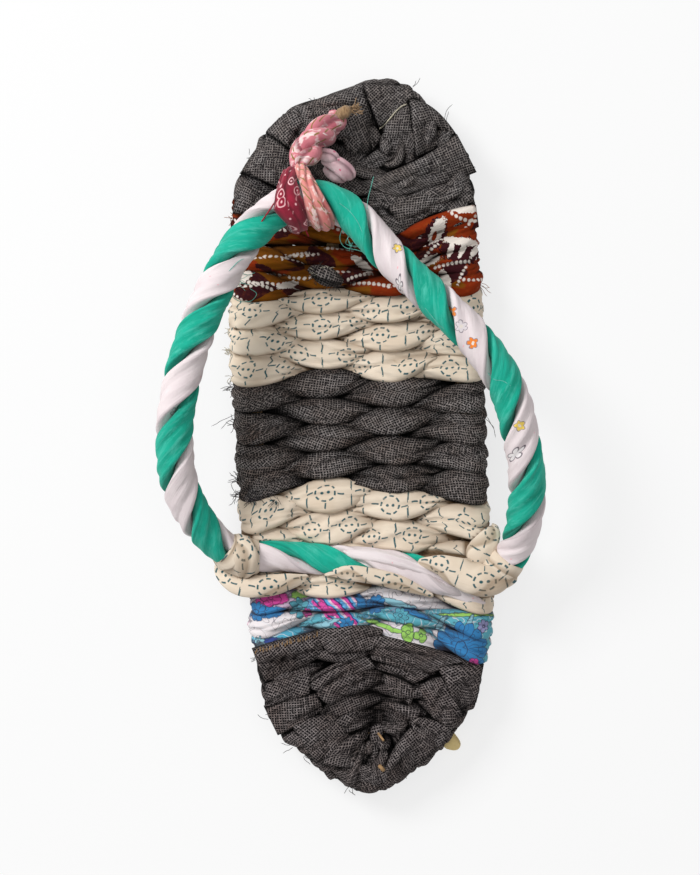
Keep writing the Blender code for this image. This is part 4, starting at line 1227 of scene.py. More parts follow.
def ring_lines(make):
    """Dashed rings with two dots at the heart, joined by long stitches, in rows along the strip."""
    lane_width, every = 12.6, 15.0
    x, y, _ = make.shaken(make.cloth, 2.2, 0.08).parts()
    lane = make.op("ROUND", y / lane_width)
    shifted = lane * 6.3 + x
    column = make.op("FLOOR", shifted / every)
    sway = make.sine(column * 5.1 + lane * 2.0)
    ring_x = column * -every + shifted - every / 2
    between = abs(ring_x) - every / 2
    ring_x = sway * 1.6 + ring_x
    ring_y = sway * 0.8 + (lane * -lane_width + y)
    away = make.join(ring_x, ring_y).length()
    dashes = make.spread(make.sine(make.op("ARCTAN2", ring_y, ring_x) * 8.0), -0.55, -0.25)
    ring = make.line(away - 3.1, 0.31) * dashes
    dots = make.dot(abs(ring_x) - 1.0, ring_y, 0.52)
    bow = make.sine(x * 0.42) * 0.9 + ring_y
    level = make.line(bow, 0.28) * make.line(abs(ring_x) - 5.0, 1.15)
    crossing = make.line(between, 0.28) * make.line(abs(bow) - 2.9, 1.9)
    upright = make.line(ring_x, 0.28) * make.line(abs(bow) - 5.2, 1.2)
    return make.either(ring, dots, make.either(level, crossing, upright) * make.spread(away, 3.7, 3.9))


def cream_cloth():
    """Unbleached cotton printed with teal stitched rings; painted brown shade in its creases."""
    base = (0.715, 0.615, 0.500)
    make = Finish("cream_rings", base, 0.85, 0.05)
    fade = make.noise(make.cloth, 0.06, 3.0, 0.6)
    colour = make.mix(make.spread(fade, 0.35, 0.7), base, (0.64, 0.525, 0.405))
    worn = make.spread(make.noise(make.cloth, 0.9, 1.0), 0.2, 0.5, 0.7, 1.0)
    colour = make.laid(colour, worn, (ring_lines(make), (0.024, 0.090, 0.105)))
    # Painted warm brown shade in the creases, depths and hollows.
    colour = make.painted_fold_light(colour, ("fold", 0.02, 0.5, 0.6, 0.0, (0.24, 0.15, 0.08)),
                           ("deep", 0.25, 1.0, 0.0, 0.8, (0.16, 0.09, 0.045)),
                           ("hollow", 0.10, 0.95, 0.0, 0.92, (0.13, 0.075, 0.035)))
    return make.cotton(colour, (0.09, 1.0))


# Motifs of the floral cloth's top: x, y, size, petals, depth of the petals, colour.
PAPER_WHITE, PALE_AQUA = (0.70, 0.65, 0.66), (0.24, 0.46, 0.54)
NAVY, SKY_BLUE, TURQUOISE = (0.035, 0.06, 0.22), (0.036, 0.195, 0.43), (0.105, 0.375, 0.46)
HOT_PINK, LEAF_GREEN, INK = (0.62, 0.07, 0.32), (0.30, 0.56, 0.12), (0.030, 0.028, 0.055)
MOTIFS = (
    (-33.5, -53.6, 3.6, 5, 0.18, HOT_PINK), (-38.6, -58.4, 3.4, 8, 0.30, SKY_BLUE),
    (-24.0, -57.6, 3.6, 6, 0.30, TURQUOISE), (-21.4, -59.4, 1.8, 5, 0.30, HOT_PINK),
    (-38.0, -68.8, 2.0, 7, 0.35, PALE_AQUA), (2.0, -57.6, 3.4, 8, 0.25, SKY_BLUE),
    (10.6, -61.8, 2.8, 7, 0.30, TURQUOISE), (38.4, -66.6, 2.0, 6, 0.40, (0.30, 0.30, 0.52)),
    (12.6, -67.6, 3.2, 2, 0.45, LEAF_GREEN), (17.0, -69.0, 2.6, 3, 0.45, LEAF_GREEN),
    (30.4, -74.0, 9.4, 14, 0.16, SKY_BLUE), (24.0, -77.4, 2.2, 5, 0.3, HOT_PINK),
    (34.4, -79.4, 2.4, 5, 0.3, HOT_PINK), (-8.0, -64.2, 2.8, 7, 0.35, SKY_BLUE),
)
# Runs of stripes there: x, y, half length, half width, turn.
STRIPES = ((-11.6, -59.6, 8.4, 3.4, -47.0), (-7.6, -55.4, 4.6, 1.8, -47.0))
# Loose shapes there: x, y, half length, half width, turn, colour.
FLORAL_PATCHES = (
    (-33.0, -54.6, 6.0, 2.4, 8.0, HOT_PINK), (-35.6, -58.6, 7.4, 2.4, 0.0, SKY_BLUE),
    (-20.0, -52.4, 7.0, 1.6, 8.0, LEAF_GREEN), (-14.4, -58.4, 3.6, 1.6, -40.0, HOT_PINK),
    (33.0, -62.6, 10.0, 0.7, -3.0, LEAF_GREEN), (5.6, -65.6, 9.0, 0.9, -22.0, LEAF_GREEN),
    (24.0, -65.2, 2.8, 0.8, 50.0, PALE_AQUA), (28.0, -66.4, 2.6, 0.8, -30.0, PALE_AQUA),
    (33.6, -65.8, 3.2, 0.9, 60.0, PALE_AQUA), (-3.0, -56.4, 3.0, 1.4, -60.0, SKY_BLUE),
    (10.0, -58.0, 6.0, 1.3, -22.0, PALE_AQUA), (16.0, -61.4, 5.0, 1.0, -24.0, SKY_BLUE),
    (-36.0, -68.6, 5.0, 0.9, 6.0, NAVY), (-16.0, -63.6, 6.4, 1.2, 14.0, PALE_AQUA),
    (24.6, -70.4, 4.6, 1.2, -40.0, PAPER_WHITE),
)


def floral_cloth():
    """White cotton with blue, turquoise, pink and lime flowers outlined in dark grey."""
    make = Finish("floral_print", (0.21, 0.42, 0.62), 0.8, 0.05)
    motif = make.attribute("motif")
    away, (hue, pick) = away_from_cell(make, make.shaken(make.cloth, 2.0, 0.12), 10.5, 0.8)
    inside = petals(make, away, 9, 4.4, 0.30)
    petal = make.mix(make.spread(hue, 0.55, 0.57), SKY_BLUE, TURQUOISE)
    petal = make.mix(make.spread(pick, 0.70, 0.72), petal, HOT_PINK)
    colour = make.laid(make.attribute("ground", "Color"), motif, (make.spread(inside, 0.0, 0.2), petal))
    outline = make.line(inside, 0.13, 0.07) * motif
    scroll = make.noise(make.shaken(make.body, 2.0, 0.2), 0.33, 0.0)
    colour = make.mix(make.line(scroll - 0.42, 0.020, 0.010) * 0.8, colour, (0.60, 0.62, 0.66))
    outline = make.either(outline, make.line(scroll - 0.56, 0.016, 0.008) * 0.75)
    x, y, z = make.shaken(make.body, 1.9, 0.28).parts()
    flat, upper = make.join(x, y), make.spread(z, 7.5, 9.0)
    for x, y, half_length, half_width, turn in STRIPES:
        along, aside, _ = make.on_the_sole(flat, x, y, turn).parts()
        band = (aside + 40.0) % 2.6
        stripe = HOT_PINK
        for edge, shade in ((0.90, NAVY), (1.35, (0.10, 0.36, 0.62)), (1.95, (0.66, 0.50, 0.60))):
            stripe = make.mix(make.spread(band, edge, edge + 0.10), stripe, shade)
        near = make.line(along, half_length, 0.2) * make.line(aside, half_width, 0.15)
        colour = make.laid(colour, upper, (near, stripe))
    jagged = make.noise(make.body, 0.55, 2.0, 0.6)
    colour = ragged_patches(make, colour, flat, upper, jagged, FLORAL_PATCHES, INK)
    for x, y, size, count, depth, shade in MOTIFS:
        away = make.on_the_sole(flat, x, y)
        inside = petals(make, away, count, size, depth)
        away_x, away_y, _ = away.parts()
        rays = make.line(make.sine(make.op("ARCTAN2", away_y, away_x) * (count / 2)), 0.13, 0.08)
        rays = rays * make.spread(inside, 0.0, 0.1) * make.spread(away.length(), size * 0.28, size * 0.32)
        heart = make.line(away.length() - size * 0.24, 0.14, 0.08)
        colour = make.laid(colour, upper, (make.spread(inside, -0.1, 0.1), shade))
        outline = make.either(outline, make.either(make.line(inside, 0.14, 0.08), rays, heart) * upper)
    colour = make.mix(outline * 0.85, colour, INK)
    # Painted shade in the creases, depths and hollows.
    shade = (0.04, 0.035, 0.05)
    colour = make.painted_fold_light(colour, ("fold", 0.02, 0.35, 0.7, 0.0, (0.06, 0.05, 0.07)),
                           ("deep", 0.2, 0.9, 0.0, 0.85, shade),
                           ("hollow", 0.10, 0.9, 0.0, 0.85, shade))
    return make.cotton(colour, (0.12, 1.2))


def rope_fibre():
    """Tan bast fibre, laid up in strands."""
    make = Finish("tan_fibre", (0.36, 0.21, 0.105), 0.85, 0.2)
    grain = make.noise(make.moved(make.body, scale=(1.6, 0.35, 1.6)), 1.2, 4.0, 0.7)
    colour = make.mix(make.spread(grain, 0.3, 0.7), (0.14, 0.075, 0.035), (0.42, 0.27, 0.14))
    return make.finish(colour, grain, 0.8, 0.5)


def thread_finish(name, colour):
    """A single cotton thread."""
    make = Finish(name, colour, 0.9)
    grain = make.noise(make.body, 0.6)
    colour = make.mix(make.spread(grain, 0.3, 0.7), scaled(colour, 0.6), colour)
    return make.finish(colour, grain, 0.2, 0.1)


def tie_print(name, kind, every, base, shade, mark, second):
    """The toe tie's small prints: loops or dashes on a dyed ground."""
    make = Finish(name, base, 0.75, 0.2)
    place = make.shaken(make.cloth, 1.6, 0.2)
    colour = make.mix(make.spread(make.noise(make.cloth, 0.16, 3.0, 0.6), 0.35, 0.65), base, shade)
    away, _ = away_from_cell(make, place, every, 0.85)
    x, y, _ = make.moved(away, turn=35.0).parts()
    if kind == "lines":
        blotch = make.noise(make.moved(make.cloth, shift=(9.0, 3.0, 0.0)), 0.30, 2.0, 0.6)
        colour = make.mix(make.spread(blotch, 0.54, 0.62, 0.0, 0.75), colour, second)
        first = make.line(y, 0.24) * make.below(abs(x), 1.8, 2.0)
    else:
        first = make.either(make.line(away.length() - 1.5, 0.16), make.dot(x, y, 0.35))
    other, (odds, _) = away_from_cell(make, make.moved(place, shift=(2.0, 7.0, 0.0)), every * 1.2, 0.9)
    x, y, _ = make.moved(other, turn=-40.0).parts()
    dash = make.line(y, 0.20) * make.below(abs(x), 1.3, 1.5)
    colour = make.mix(first, colour, mark)
    colour = make.laid(colour, make.below(odds, 0.5, 0.52), (dash, second))
    # Painted shade in the creases.
    colour = make.painted_fold_light(colour, ("fold", 0.02, 0.4, 0.8, 0.0, scaled(shade, 0.25)))
    streaks = make.noise(make.moved(make.cloth, scale=(0.2, 1.4, 1.0)), 1.0, 3.0, 0.6)
    return make.finish(colour, streaks, 0.5, 0.4)


# ---------------------------------------------------------------- build

# Name, dark ground, pale and brown threads, their pitch, how deep a hollow takes full painted shade.
toe_grey, waist_grey, heel_grey = (slub_cloth(*recipe) for recipe in (
    ("grey_slub_toe", (0.010, 0.009, 0.0095), (0.345, 0.318, 0.310), (0.25, 0.21, 0.19), 0.91, 0.56),
    ("grey_slub_dark", (0.006, 0.0055, 0.006), (0.36, 0.325, 0.315), (0.23, 0.175, 0.15), 0.92),
    ("grey_slub_heel", (0.004, 0.0036, 0.004), (0.325, 0.285, 0.280), (0.225, 0.175, 0.160), 0.90, 0.60),
))
batik, cream, floral, tan_rope = batik_cloth(), cream_cloth(), floral_cloth(), rope_fibre()
# Name, colour, shade (dimmed, also the painted crease shade), worn and painted highlight colour.
green = plain_cloth(
    "green_cotton", (0.010, 0.395, 0.280), (0.006, 0.30, 0.205), (0.12, 0.60, 0.48), worn=0.65)
strap_white = plain_cloth(
    "white_cotton", (0.74, 0.66, 0.665), (0.66, 0.57, 0.585), (0.82, 0.76, 0.76), spots=strap_print)
yellow_cloth = plain_cloth("yellow_scrap", (0.74, 0.58, 0.27), (0.66, 0.50, 0.22), (0.80, 0.68, 0.40))
# Name, kind, how far apart the marks are, colour, shade, colours of the first and the second marks.
pink, crimson, salmon, mauve = (tie_print(*recipe) for recipe in (
    ("pink_marks", "lines", 4.4, (0.62, 0.215, 0.245), (0.50, 0.125, 0.165), (0.20, 0.13, 0.025),
     (0.84, 0.70, 0.68)),
    ("crimson_swirls", "swirls", 4.2, (0.30, 0.010, 0.035), (0.15, 0.006, 0.02), (0.80, 0.46, 0.48),
     (0.66, 0.25, 0.28)),
    ("salmon_lines", "lines", 4.4, (0.68, 0.30, 0.265), (0.60, 0.16, 0.15), (0.24, 0.17, 0.05),
     (0.84, 0.68, 0.64)),
    ("mauve_scrap", "swirls", 5.5, (0.66, 0.50, 0.52), (0.52, 0.30, 0.34), (0.55, 0.12, 0.20),
     (0.30, 0.12, 0.16)),
))
grey_thread, mint_thread, pale_thread, red_thread, tan_thread, rust_thread = (
    thread_finish(name + "_thread", colour) for name, colour in (
        ("grey", (0.05, 0.046, 0.05)), ("mint", (0.16, 0.52, 0.43)), ("pale", (0.60, 0.55, 0.43)),
        ("red", (0.36, 0.03, 0.05)), ("tan", (0.42, 0.26, 0.13)), ("rust", (0.30, 0.10, 0.03)),
    ))

# Name, first and last pick, seed, finish, slot, node, and how the strip is folded.
CREAM_FOLDING = {"turned": False, "flatness": 0.42, "crest": 1.14, "shingle": 2.0}
BANDS = (
    ("toe_cloth", -0.4, 7.865, 101, toe_grey, "toe_grey_cloth", "toe_grey",
     {"folds": (0.4, 0.8), "crest": 1.12, "shingle": 2.4, "stand": 1.15}),
    ("batik_cloth", 7.865, 13.865, 202, batik, "batik_cloth", "batik_band", {"turned": False}),
    ("cream_front_cloth", 13.865, 19.865, 303, cream, "cream_cloth", "cream_front_band",
     {**CREAM_FOLDING, "folds": (1.1, 1.9), "fold_depth": 1.25}),
    ("waist_cloth", 19.865, 27.865, 404, waist_grey, "grey_cloth", "grey_waist_band", {}),
    ("cream_rear_cloth", 27.865, 34.5, 505, cream, "cream_cloth", "cream_rear_band",
     {**CREAM_FOLDING, "folds": (0.7, 1.2), "pressed": True}),
    ("floral_cloth", 34.5, 39.5, 606, floral, "floral_cloth", "floral_band",
     {"turned": False, "pressed": True}),
    ("heel_cloth", 39.5, 51.4, 707, heel_grey, "grey_cloth", "heel_grey",
     {"folds": (0.4, 0.9), "crest": 1.10, "shingle": 1.8, "stand": 1.35}),
)

# The floral cloth as each pick shows it over each warp: ground colour, and how much of the print shows.
FLORAL_CHART = (
    (35, 0, (0.55, 0.42, 0.55), 0.6), (35, 2, PAPER_WHITE, 0.0), (36, 3, TURQUOISE, 0.2),
    (36, 1, (0.12, 0.34, 0.58), 0.3), (37, 0, PAPER_WHITE, 0.0), (37, 2, TURQUOISE, 0.2),
    (38, 3, TURQUOISE, 0.1), (38, 1, TURQUOISE, 0.3), (39, 0, (0.08, 0.36, 0.50), 0.1),
    (39, 2, PAPER_WHITE, 0.1),
)


def floral_tint(across, lane):
    """The chart above, read at each station of the strip."""
    ground = np.tile(np.array(PAPER_WHITE), (len(lane), 1))
    motif = np.full(len(lane), 0.5)
    for pick, warp, colour, amount in FLORAL_CHART:
        near = (np.abs(lane - pick) < 0.5) & (np.abs(across - WARPS[warp]) < 0.30)
        ground[near] = colour
        motif[near] = amount
    return {"ground": ground[:, None, :], "motif": motif[:, None]}


# Flat folds laid over the weave: four corners (x, y, how far off the cloth), then the long sides' swell.
TOE_LEAVES = (
    (((0.5, 92.0, -0.8), (13.0, 101.0, -0.8), (25.0, 94.5, -0.8), (8.0, 85.0, -0.8)), (0.0, 0.0)),
    (((-41.0, 78.0, 0.6), (-36.2, 91.2, -0.6), (-24.5, 86.5, -0.6), (-27.0, 77.0, 0.6)), (0.8, 0.0)),
    (((-3.0, 103.0, -0.8), (10.0, 106.5, -1.0), (13.6, 99.4, -0.6), (1.6, 89.0, -1.6)), (0.5, 0.4)),
    (((11.4, 106.4, 0.2), (21.5, 114.5, -0.4), (23.4, 95.2, 0.6), (12.4, 97.0, 0.8)), (0.0, 0.6)),
    (((-37.6, 92.6, 1.4), (-28.0, 105.0, -0.6), (-17.5, 98.5, -0.8), (-24.5, 85.8, 1.0)), (0.4, 0.3)),
    (((-38.3, 92.2, 1.8), (-33.4, 97.2, 0.8), (-29.6, 93.6, 1.0), (-33.0, 90.0, 2.0)), (0.0, 0.0)),
    (((-28.6, 105.6, 1.7), (-18.0, 114.2, -0.4), (-13.0, 107.0, -0.6), (-18.0, 97.5, 1.2)), (0.7, 0.0)),
    (((-18.0, 113.6, 1.8), (5.8, 120.4, -0.4), (9.0, 108.5, -0.8), (-13.6, 104.5, 1.4)), (0.6, 0.0)),
    (((5.2, 120.8, 1.5), (22.6, 119.0, 0.4), (23.2, 114.6, 1.4), (10.4, 105.2, 1.9)), (0.5, 0.4)),
    (((21.0, 114.6, 1.7), (37.6, 101.4, -0.6), (34.5, 98.6, -1.2), (22.6, 94.5, 1.4)), (3.4, 0.0)),
    (((3.0, 85.6, -0.8), (20.0, 82.8, -0.6), (18.0, 69.5, 0.2), (7.5, 76.0, 0.0)), (0.0, 0.6)),
    (((20.0, 82.6, -0.4), (41.0, 86.6, -0.8), (42.6, 77.2, 0.2), (27.0, 74.6, 0.4)), (0.4, 0.6)),
    (((12.0, 78.0, 0.8), (31.5, 83.6, 0.2), (30.0, 76.0, 1.0), (17.6, 69.0, 1.0)), (0.8, 0.5)),
    (((1.0, 87.0, 0.2), (37.0, 102.0, 1.8), (43.4, 88.8, 1.0), (15.0, 81.0, 0.8)), (-2.4, 0.6)),
)
HEEL_LEAVES = (
    (((-3.0, -98.0, -1.0), (-2.0, -113.0, -0.8), (5.4, -113.0, -0.8), (6.4, -98.0, -1.0)), (0.0, 0.0)),
    (((-29.5, -97.0, 0.3), (-9.0, -94.5, -0.8), (-9.0, -104.5, -0.8), (-21.0, -112.0, 0.4)), (0.5, 0.8)),
    (((-38.0, -91.6, 0.2), (-19.0, -87.5, -0.2), (-17.0, -93.5, 0.8), (-33.5, -102.0, 1.0)), (0.2, 0.3)),
    (((-37.0, -83.6, 0.0), (-20.5, -80.0, -0.3), (-21.5, -88.0, 0.9), (-37.6, -92.2, 1.0)), (0.2, 0.2)),
    (((-18.5, -112.0, -0.4), (-1.5, -113.0, -0.6), (2.5, -121.0, 0.5), (-9.0, -121.4, 0.5)), (0.0, 0.5)),
    (((-19.0, -112.4, 0.7), (-5.0, -101.5, 0.4), (-0.8, -110.5, -0.8), (-5.0, -114.5, 0.8)), (1.5, 0.8)),
    (((12.0, -97.0, -0.2), (29.0, -99.8, 0.2), (22.0, -108.6, 0.5), (13.0, -103.0, 0.4)), (0.3, 0.6)),
    (((2.4, -115.5, 0.2), (12.5, -100.5, 1.2), (21.3, -108.4, 0.9), (5.0, -118.6, 0.6)), (1.2, 1.0)),
    (((-21.0, -88.5, 0.8), (-2.4, -81.0, 0.0), (-2.6, -88.0, -1.2), (-14.0, -93.5, 0.4)), (1.5, -0.5)),
    (((-14.0, -98.0, 0.4), (-3.0, -91.0, -0.6), (-2.6, -98.6, -2.0), (-7.0, -103.0, 0.0)), (0.6, 0.2)),
    (((-24.0, -84.5, 1.0), (-1.0, -74.5, 0.0), (2.0, -80.0, 0.8), (-18.0, -88.5, 1.2)), (1.8, -1.4)),
    (((-1.0, -74.8, 0.4), (21.0, -83.5, 0.2), (13.5, -86.5, 0.8), (1.0, -80.5, 0.8)), (1.0, -0.6)),
    (((3.4, -82.0, 0.2), (15.0, -87.5, 0.0), (12.5, -94.5, 0.4), (4.4, -90.0, -1.2)), (0.8, 0.4)),
    (((4.4, -91.5, 0.0), (17.0, -95.5, 0.2), (13.0, -101.0, 0.2), (5.0, -99.0, -1.8)), (0.5, 0.3)),
    (((15.0, -86.5, 0.3), (24.0, -83.5, 0.3), (31.0, -97.8, 0.8), (20.0, -98.5, 0.6)), (0.3, 0.3)),
    (((22.0, -80.0, 0.4), (38.6, -80.4, 0.6), (35.4, -93.6, 0.6), (29.0, -96.0, 0.8)), (0.3, 0.0)),
    (((-1.0, -67.6, 1.0), (33.5, -79.2, 0.4), (20.0, -82.6, 0.9), (-2.0, -74.6, 1.2)), (1.4, 0.6)),
    (((-41.0, -71.2, 2.2), (-18.5, -66.2, 2.0), (-15.0, -74.0, 1.4), (-37.0, -84.2, 1.4)), (0.4, 0.4)),
    (((-21.0, -66.6, 2.2), (5.4, -66.6, 1.2), (1.0, -73.6, 1.8), (-14.5, -74.2, 2.2)), (2.0, 0.4)),
)
BATIK_LEAVES = (
    (((15.0, 68.6, 1.2), (42.6, 77.6, 1.2), (43.4, 70.0, 0.4), (22.0, 64.6, 0.4)), (1.6, 0.8)),
)
LEAVES = {"toe_cloth": TOE_LEAVES, "heel_cloth": HEEL_LEAVES, "batik_cloth": BATIK_LEAVES}

# Cloth that fills the toe's and the heel's hearts, and cream folds that lie over the strap's ends.
TOE_HEART = (
    (5.0, 89.0, 6.4, 3.8), (8.0, 95.0, 6.8, 4.8), (9.6, 101.0, 7.0, 4.8), (11.5, 108.0, 7.8, 4.4),
    (13.0, 115.0, 8.6, 3.0),
)
HEEL_HEART = (
    (1.0, -86.0, 8.6, 2.4), (1.0, -92.0, 7.0, 3.6), (0.6, -101.0, 6.0, 4.4), (0.4, -107.0, 6.2, 4.2),
    (0.0, -114.0, 7.0, 2.8),
)
TOE_TIP = (
    (11.0, 87.0, 6.4, 4.2), (14.0, 94.0, 6.8, 4.8), (15.0, 101.0, 7.2, 4.6), (15.6, 110.0, 8.2, 4.2),
    (15.6, 117.0, 8.8, 3.0),
)
RIGHT_FOLDS = (
    ((17.0, -43.6, 19.0, 1.0), (24.5, -45.0, 20.6, 3.6), (31.0, -48.0, 21.2, 5.4),
     (38.6, -50.8, 22.2, 5.8), (45.5, -49.6, 21.6, 4.3), (50.6, -46.6, 18.0, 1.4)),
    ((-15.0, -46.6, 16.4, 0.8), (-7.0, -46.4, 18.8, 2.4), (2.0, -48.0, 19.0, 3.0),
     (12.0, -51.2, 18.4, 2.4), (22.0, -55.8, 16.0, 0.8)),
    ((44.2, -32.6, 10.6, 1.2), (43.2, -34.4, 16.0, 2.6), (41.2, -37.4, 19.0, 3.9),
     (38.4, -41.6, 19.6, 5.2), (35.6, -46.0, 18.4, 4.6)),
)
LEFT_FOLDS = (
    ((-47.6, -39.0, 13.6, 1.4), (-50.0, -42.8, 13.4, 2.2), (-47.4, -46.6, 15.0, 3.2),
     (-41.6, -49.4, 16.8, 4.0), (-34.0, -49.6, 17.8, 3.9), (-27.0, -48.6, 17.4, 2.8),
     (-20.0, -47.4, 15.5, 0.8)),
    ((-43.8, -31.6, 17.0, 1.0), (-42.4, -35.0, 20.6, 3.6), (-41.6, -39.0, 22.2, 4.7),
     (-41.9, -43.0, 20.8, 4.0), (-42.8, -46.6, 17.4, 1.4)),
)
# HEART_DEEP paints even shade over the hearts' folds.
HEART_FLAT, HEART_DEEP = 0.9, 0.58
EXTRA_FOLDS = {
    "heel_cloth": [(HEEL_HEART, 916, HEART_FLAT)],
    "toe_cloth": [(TOE_HEART, 911, HEART_FLAT), (TOE_TIP, 912, HEART_FLAT)],
    "cream_rear_cloth": [(table, 920 + i, 0.5) for i, table in enumerate(RIGHT_FOLDS + LEFT_FOLDS)],
}

for name, *band, folding in BANDS:
    extra = [loose_fold(table, draw, flat, deep=HEART_DEEP if flat == HEART_FLAT else 0.0)
             for table, draw, flat in EXTRA_FOLDS.get(name, ())]
    tint = floral_tint if name == "floral_cloth" else None
    woven_band(name, *band, tint=tint, extra=extra, leaves=LEAVES.get(name, ()), **folding)

mark_hollows(woven_before)
plies = [strap_ply("strap_green", 0.0, 811, green, "green_cloth", "strap_green_ply"),
         strap_ply("strap_white", 0.5, 822, strap_white, "white_cloth", "strap_white_ply")]
over_strap = heights_over([ply.data for ply in plies])
# The white strip's wide fold where the strap lies across the sole.
STRAP_FOLD = ((-9.0, -39.0, -0.4), (40.5, -59.4, 0.2), (38.6, -61.6, 0.0), (-5.0, -43.6, -0.4))
strap_fold = cloth_leaf(STRAP_FOLD, (7.0, -0.6), 881, over_strap)
join_shells("strap_fold", [strap_fold], strap_white, "white_cloth")
wrap_sleeve("wrap_left", LEFT_WRAP_TURN, 4.6, 7.4, 833, cream, "cream_cloth", "strap_wrap_left")
wrap_sleeve("wrap_right", RIGHT_WRAP_TURN, 7.4, 7.6, 844, cream, "cream_cloth", "strap_wrap_right")
tie_twist("tie_twist", pink, "pink_cloth", "toe_tie_twist")
for leg, leg_seed, leg_finish in zip(LEGS, (855, 866), (crimson, salmon)):
    leg_over_strap(*leg, leg_seed, leg_finish)
TAIL_FOLDS = (
    ((-9.4, 94.2, 21.6, 1.4), (-6.6, 92.8, 23.0, 2.7), (-3.4, 90.8, 23.2, 3.0), (-0.6, 88.6, 21.8, 2.4),
     (0.6, 87.0, 20.4, 1.0)),
    ((-8.6, 91.8, 21.4, 1.2), (-6.4, 89.8, 23.0, 2.2), (-4.0, 88.2, 23.2, 2.4), (-1.8, 86.2, 21.4, 1.2)),
    ((-10.8, 96.6, 22.4, 1.0), (-8.4, 95.6, 24.2, 2.2), (-6.0, 94.4, 24.4, 2.1), (-4.4, 92.8, 23.2, 0.9)),
)
tail = [loose_fold(table, 877 + i, 0.8, laps=3.2, depth=1.3) for i, table in enumerate(TAIL_FOLDS)]
join_shells("tie_tail", tail, mauve, "mauve_cloth", "toe_tie_tail")
CORD_AWAY = (4.2, 2.6, 0.0)     # the cord's end comes out left of and behind its socket
cord_line, cord_size = smooth_route(CORD_END, 30)
cord_line = cord_line - CORD_AWAY
CORD_HAIRS = (
    (1.4, 110.2, 22.8, 22.0, 26.0, 34, 3.6, 0.20), (-0.6, 109.4, 22.2, 35.0, 60.0, 10, 2.8, 0.15),
)
cord = [strand("cord", cord_line, cord_size, 888, laps=3.0, depth=0.4, twist=3.0)]
join_shells("cord_end", cord + hair_shells(CORD_HAIRS, 31), tan_rope, "tan_rope", "toe_tie_cord")

# Frayed edges: side, row, z, heading, spread, how many, length, radius.
GREY_EDGES = (
    (1, 1.1, 9.0, 25.0, 25.0, 2, 5.0, 0.12), (1, 3.4, 9.0, 60.0, 14.0, 2, 11.0, 0.12),
    (1, 3.6, 9.0, 80.0, 40.0, 3, 3.0, 0.13), (-1, 6.4, 9.0, 140.0, 40.0, 3, 2.5, 0.13),
    (-1, 2.4, 9.0, 130.0, 40.0, 2, 2.0, 0.13), (1, 5.6, 9.0, 350.0, 40.0, 2, 2.5, 0.13),
    (-1, 20.9, 10.0, 180.0, 50.0, 12, 4.0, 0.14), (-1, 22.8, 10.0, 185.0, 20.0, 2, 11.0, 0.13),
    (-1, 23.2, 10.0, 190.0, 40.0, 8, 4.0, 0.14), (-1, 26.8, 10.0, 180.0, 60.0, 12, 4.0, 0.14),
    (-1, 27.8, 12.0, 195.0, 60.0, 18, 4.5, 0.14), (-1, 45.6, 8.0, 215.0, 18.0, 2, 9.0, 0.13),
    (-1, 46.6, 8.0, 285.0, 20.0, 2, 5.0, 0.13), (-1, 49.8, 8.0, 260.0, 40.0, 3, 4.0, 0.14),
    (-1, 43.6, 8.0, 175.0, 15.0, 2, 5.0, 0.13), (-1, 40.2, 10.0, 195.0, 40.0, 6, 2.0, 0.14),
    (1, 23.0, 6.0, 325.0, 15.0, 2, 13.0, 0.13), (1, 49.0, 8.0, 310.0, 30.0, 2, 2.0, 0.13),
)
PALE_EDGES = (
    (-1, 16.8, 9.0, 180.0, 70.0, 12, 2.6, 0.15), (-1, 18.4, 9.0, 190.0, 70.0, 14, 3.0, 0.15),
    (-1, 20.2, 9.0, 200.0, 60.0, 10, 2.8, 0.15),
)
PALE_TUFT = (
    (-9.4, 56.8, 20.6, 110.0, 80.0, 7, 2.4, 0.13), (-13.0, 56.0, 20.2, 200.0, 60.0, 5, 2.2, 0.13),
)
# A pale thread along a fold's edge on the toe: x, y.
PALE_LINE = ((20.4, 112.2), (18.4, 111.4), (16.4, 109.8), (14.2, 107.4), (12.2, 105.4), (10.4, 104.2))
RUST_EDGES = ((1, 14.2, 9.0, 320.0, 25.0, 4, 7.0, 0.12), (-1, 9.6, 10.0, 180.0, 60.0, 10, 2.5, 0.13))
# Frayed ends elsewhere: x, y, z, heading, spread, how many, length, radius.
WAIST_HAIRS = (
    (-38.0, -19.5, 15.8, 200.0, 150.0, 26, 4.5, 0.13), (-30.0, -20.5, 16.2, 250.0, 120.0, 10, 4.0, 0.12),
)
TUFT = (
    (-15.5, 57.8, 16.6, 1.4), (-13.0, 56.2, 18.6, 2.8), (-10.0, 54.6, 19.2, 3.6), (-6.5, 53.0, 18.0, 2.6),
    (-4.0, 52.4, 16.6, 1.2),
)
TUFT_HAIRS = (
    (-12.5, 55.5, 20.5, 90.0, 180.0, 40, 4.5, 0.14), (-7.5, 53.0, 19.4, 310.0, 120.0, 34, 4.0, 0.14),
)
MINT_THREADS = (
    ((7.6, 86.6, 34.0), (6.6, 83.0, 36.4), (5.4, 79.0, 36.6), (4.8, 75.0, 36.8)),
    ((-3.4, 70.0, 34.0), (-4.6, 66.4, 31.0), (-3.2, 63.6, 29.0), (0.8, 62.4, 29.5), (4.6, 61.0, 32.0)),
    ((-1.6, 67.0, 33.0), (-2.6, 64.6, 30.0), (0.6, 63.6, 29.0), (3.6, 63.4, 31.0)),
    ((-43.0, 50.0, 36.0), (-39.5, 47.0, 29.0), (-35.5, 47.0, 25.0), (-33.5, 49.4, 23.5),
     (-36.0, 51.4, 26.0)),
    ((-40.0, 57.0, 36.0), (-36.0, 55.6, 29.0), (-33.5, 56.5, 26.0)),
)
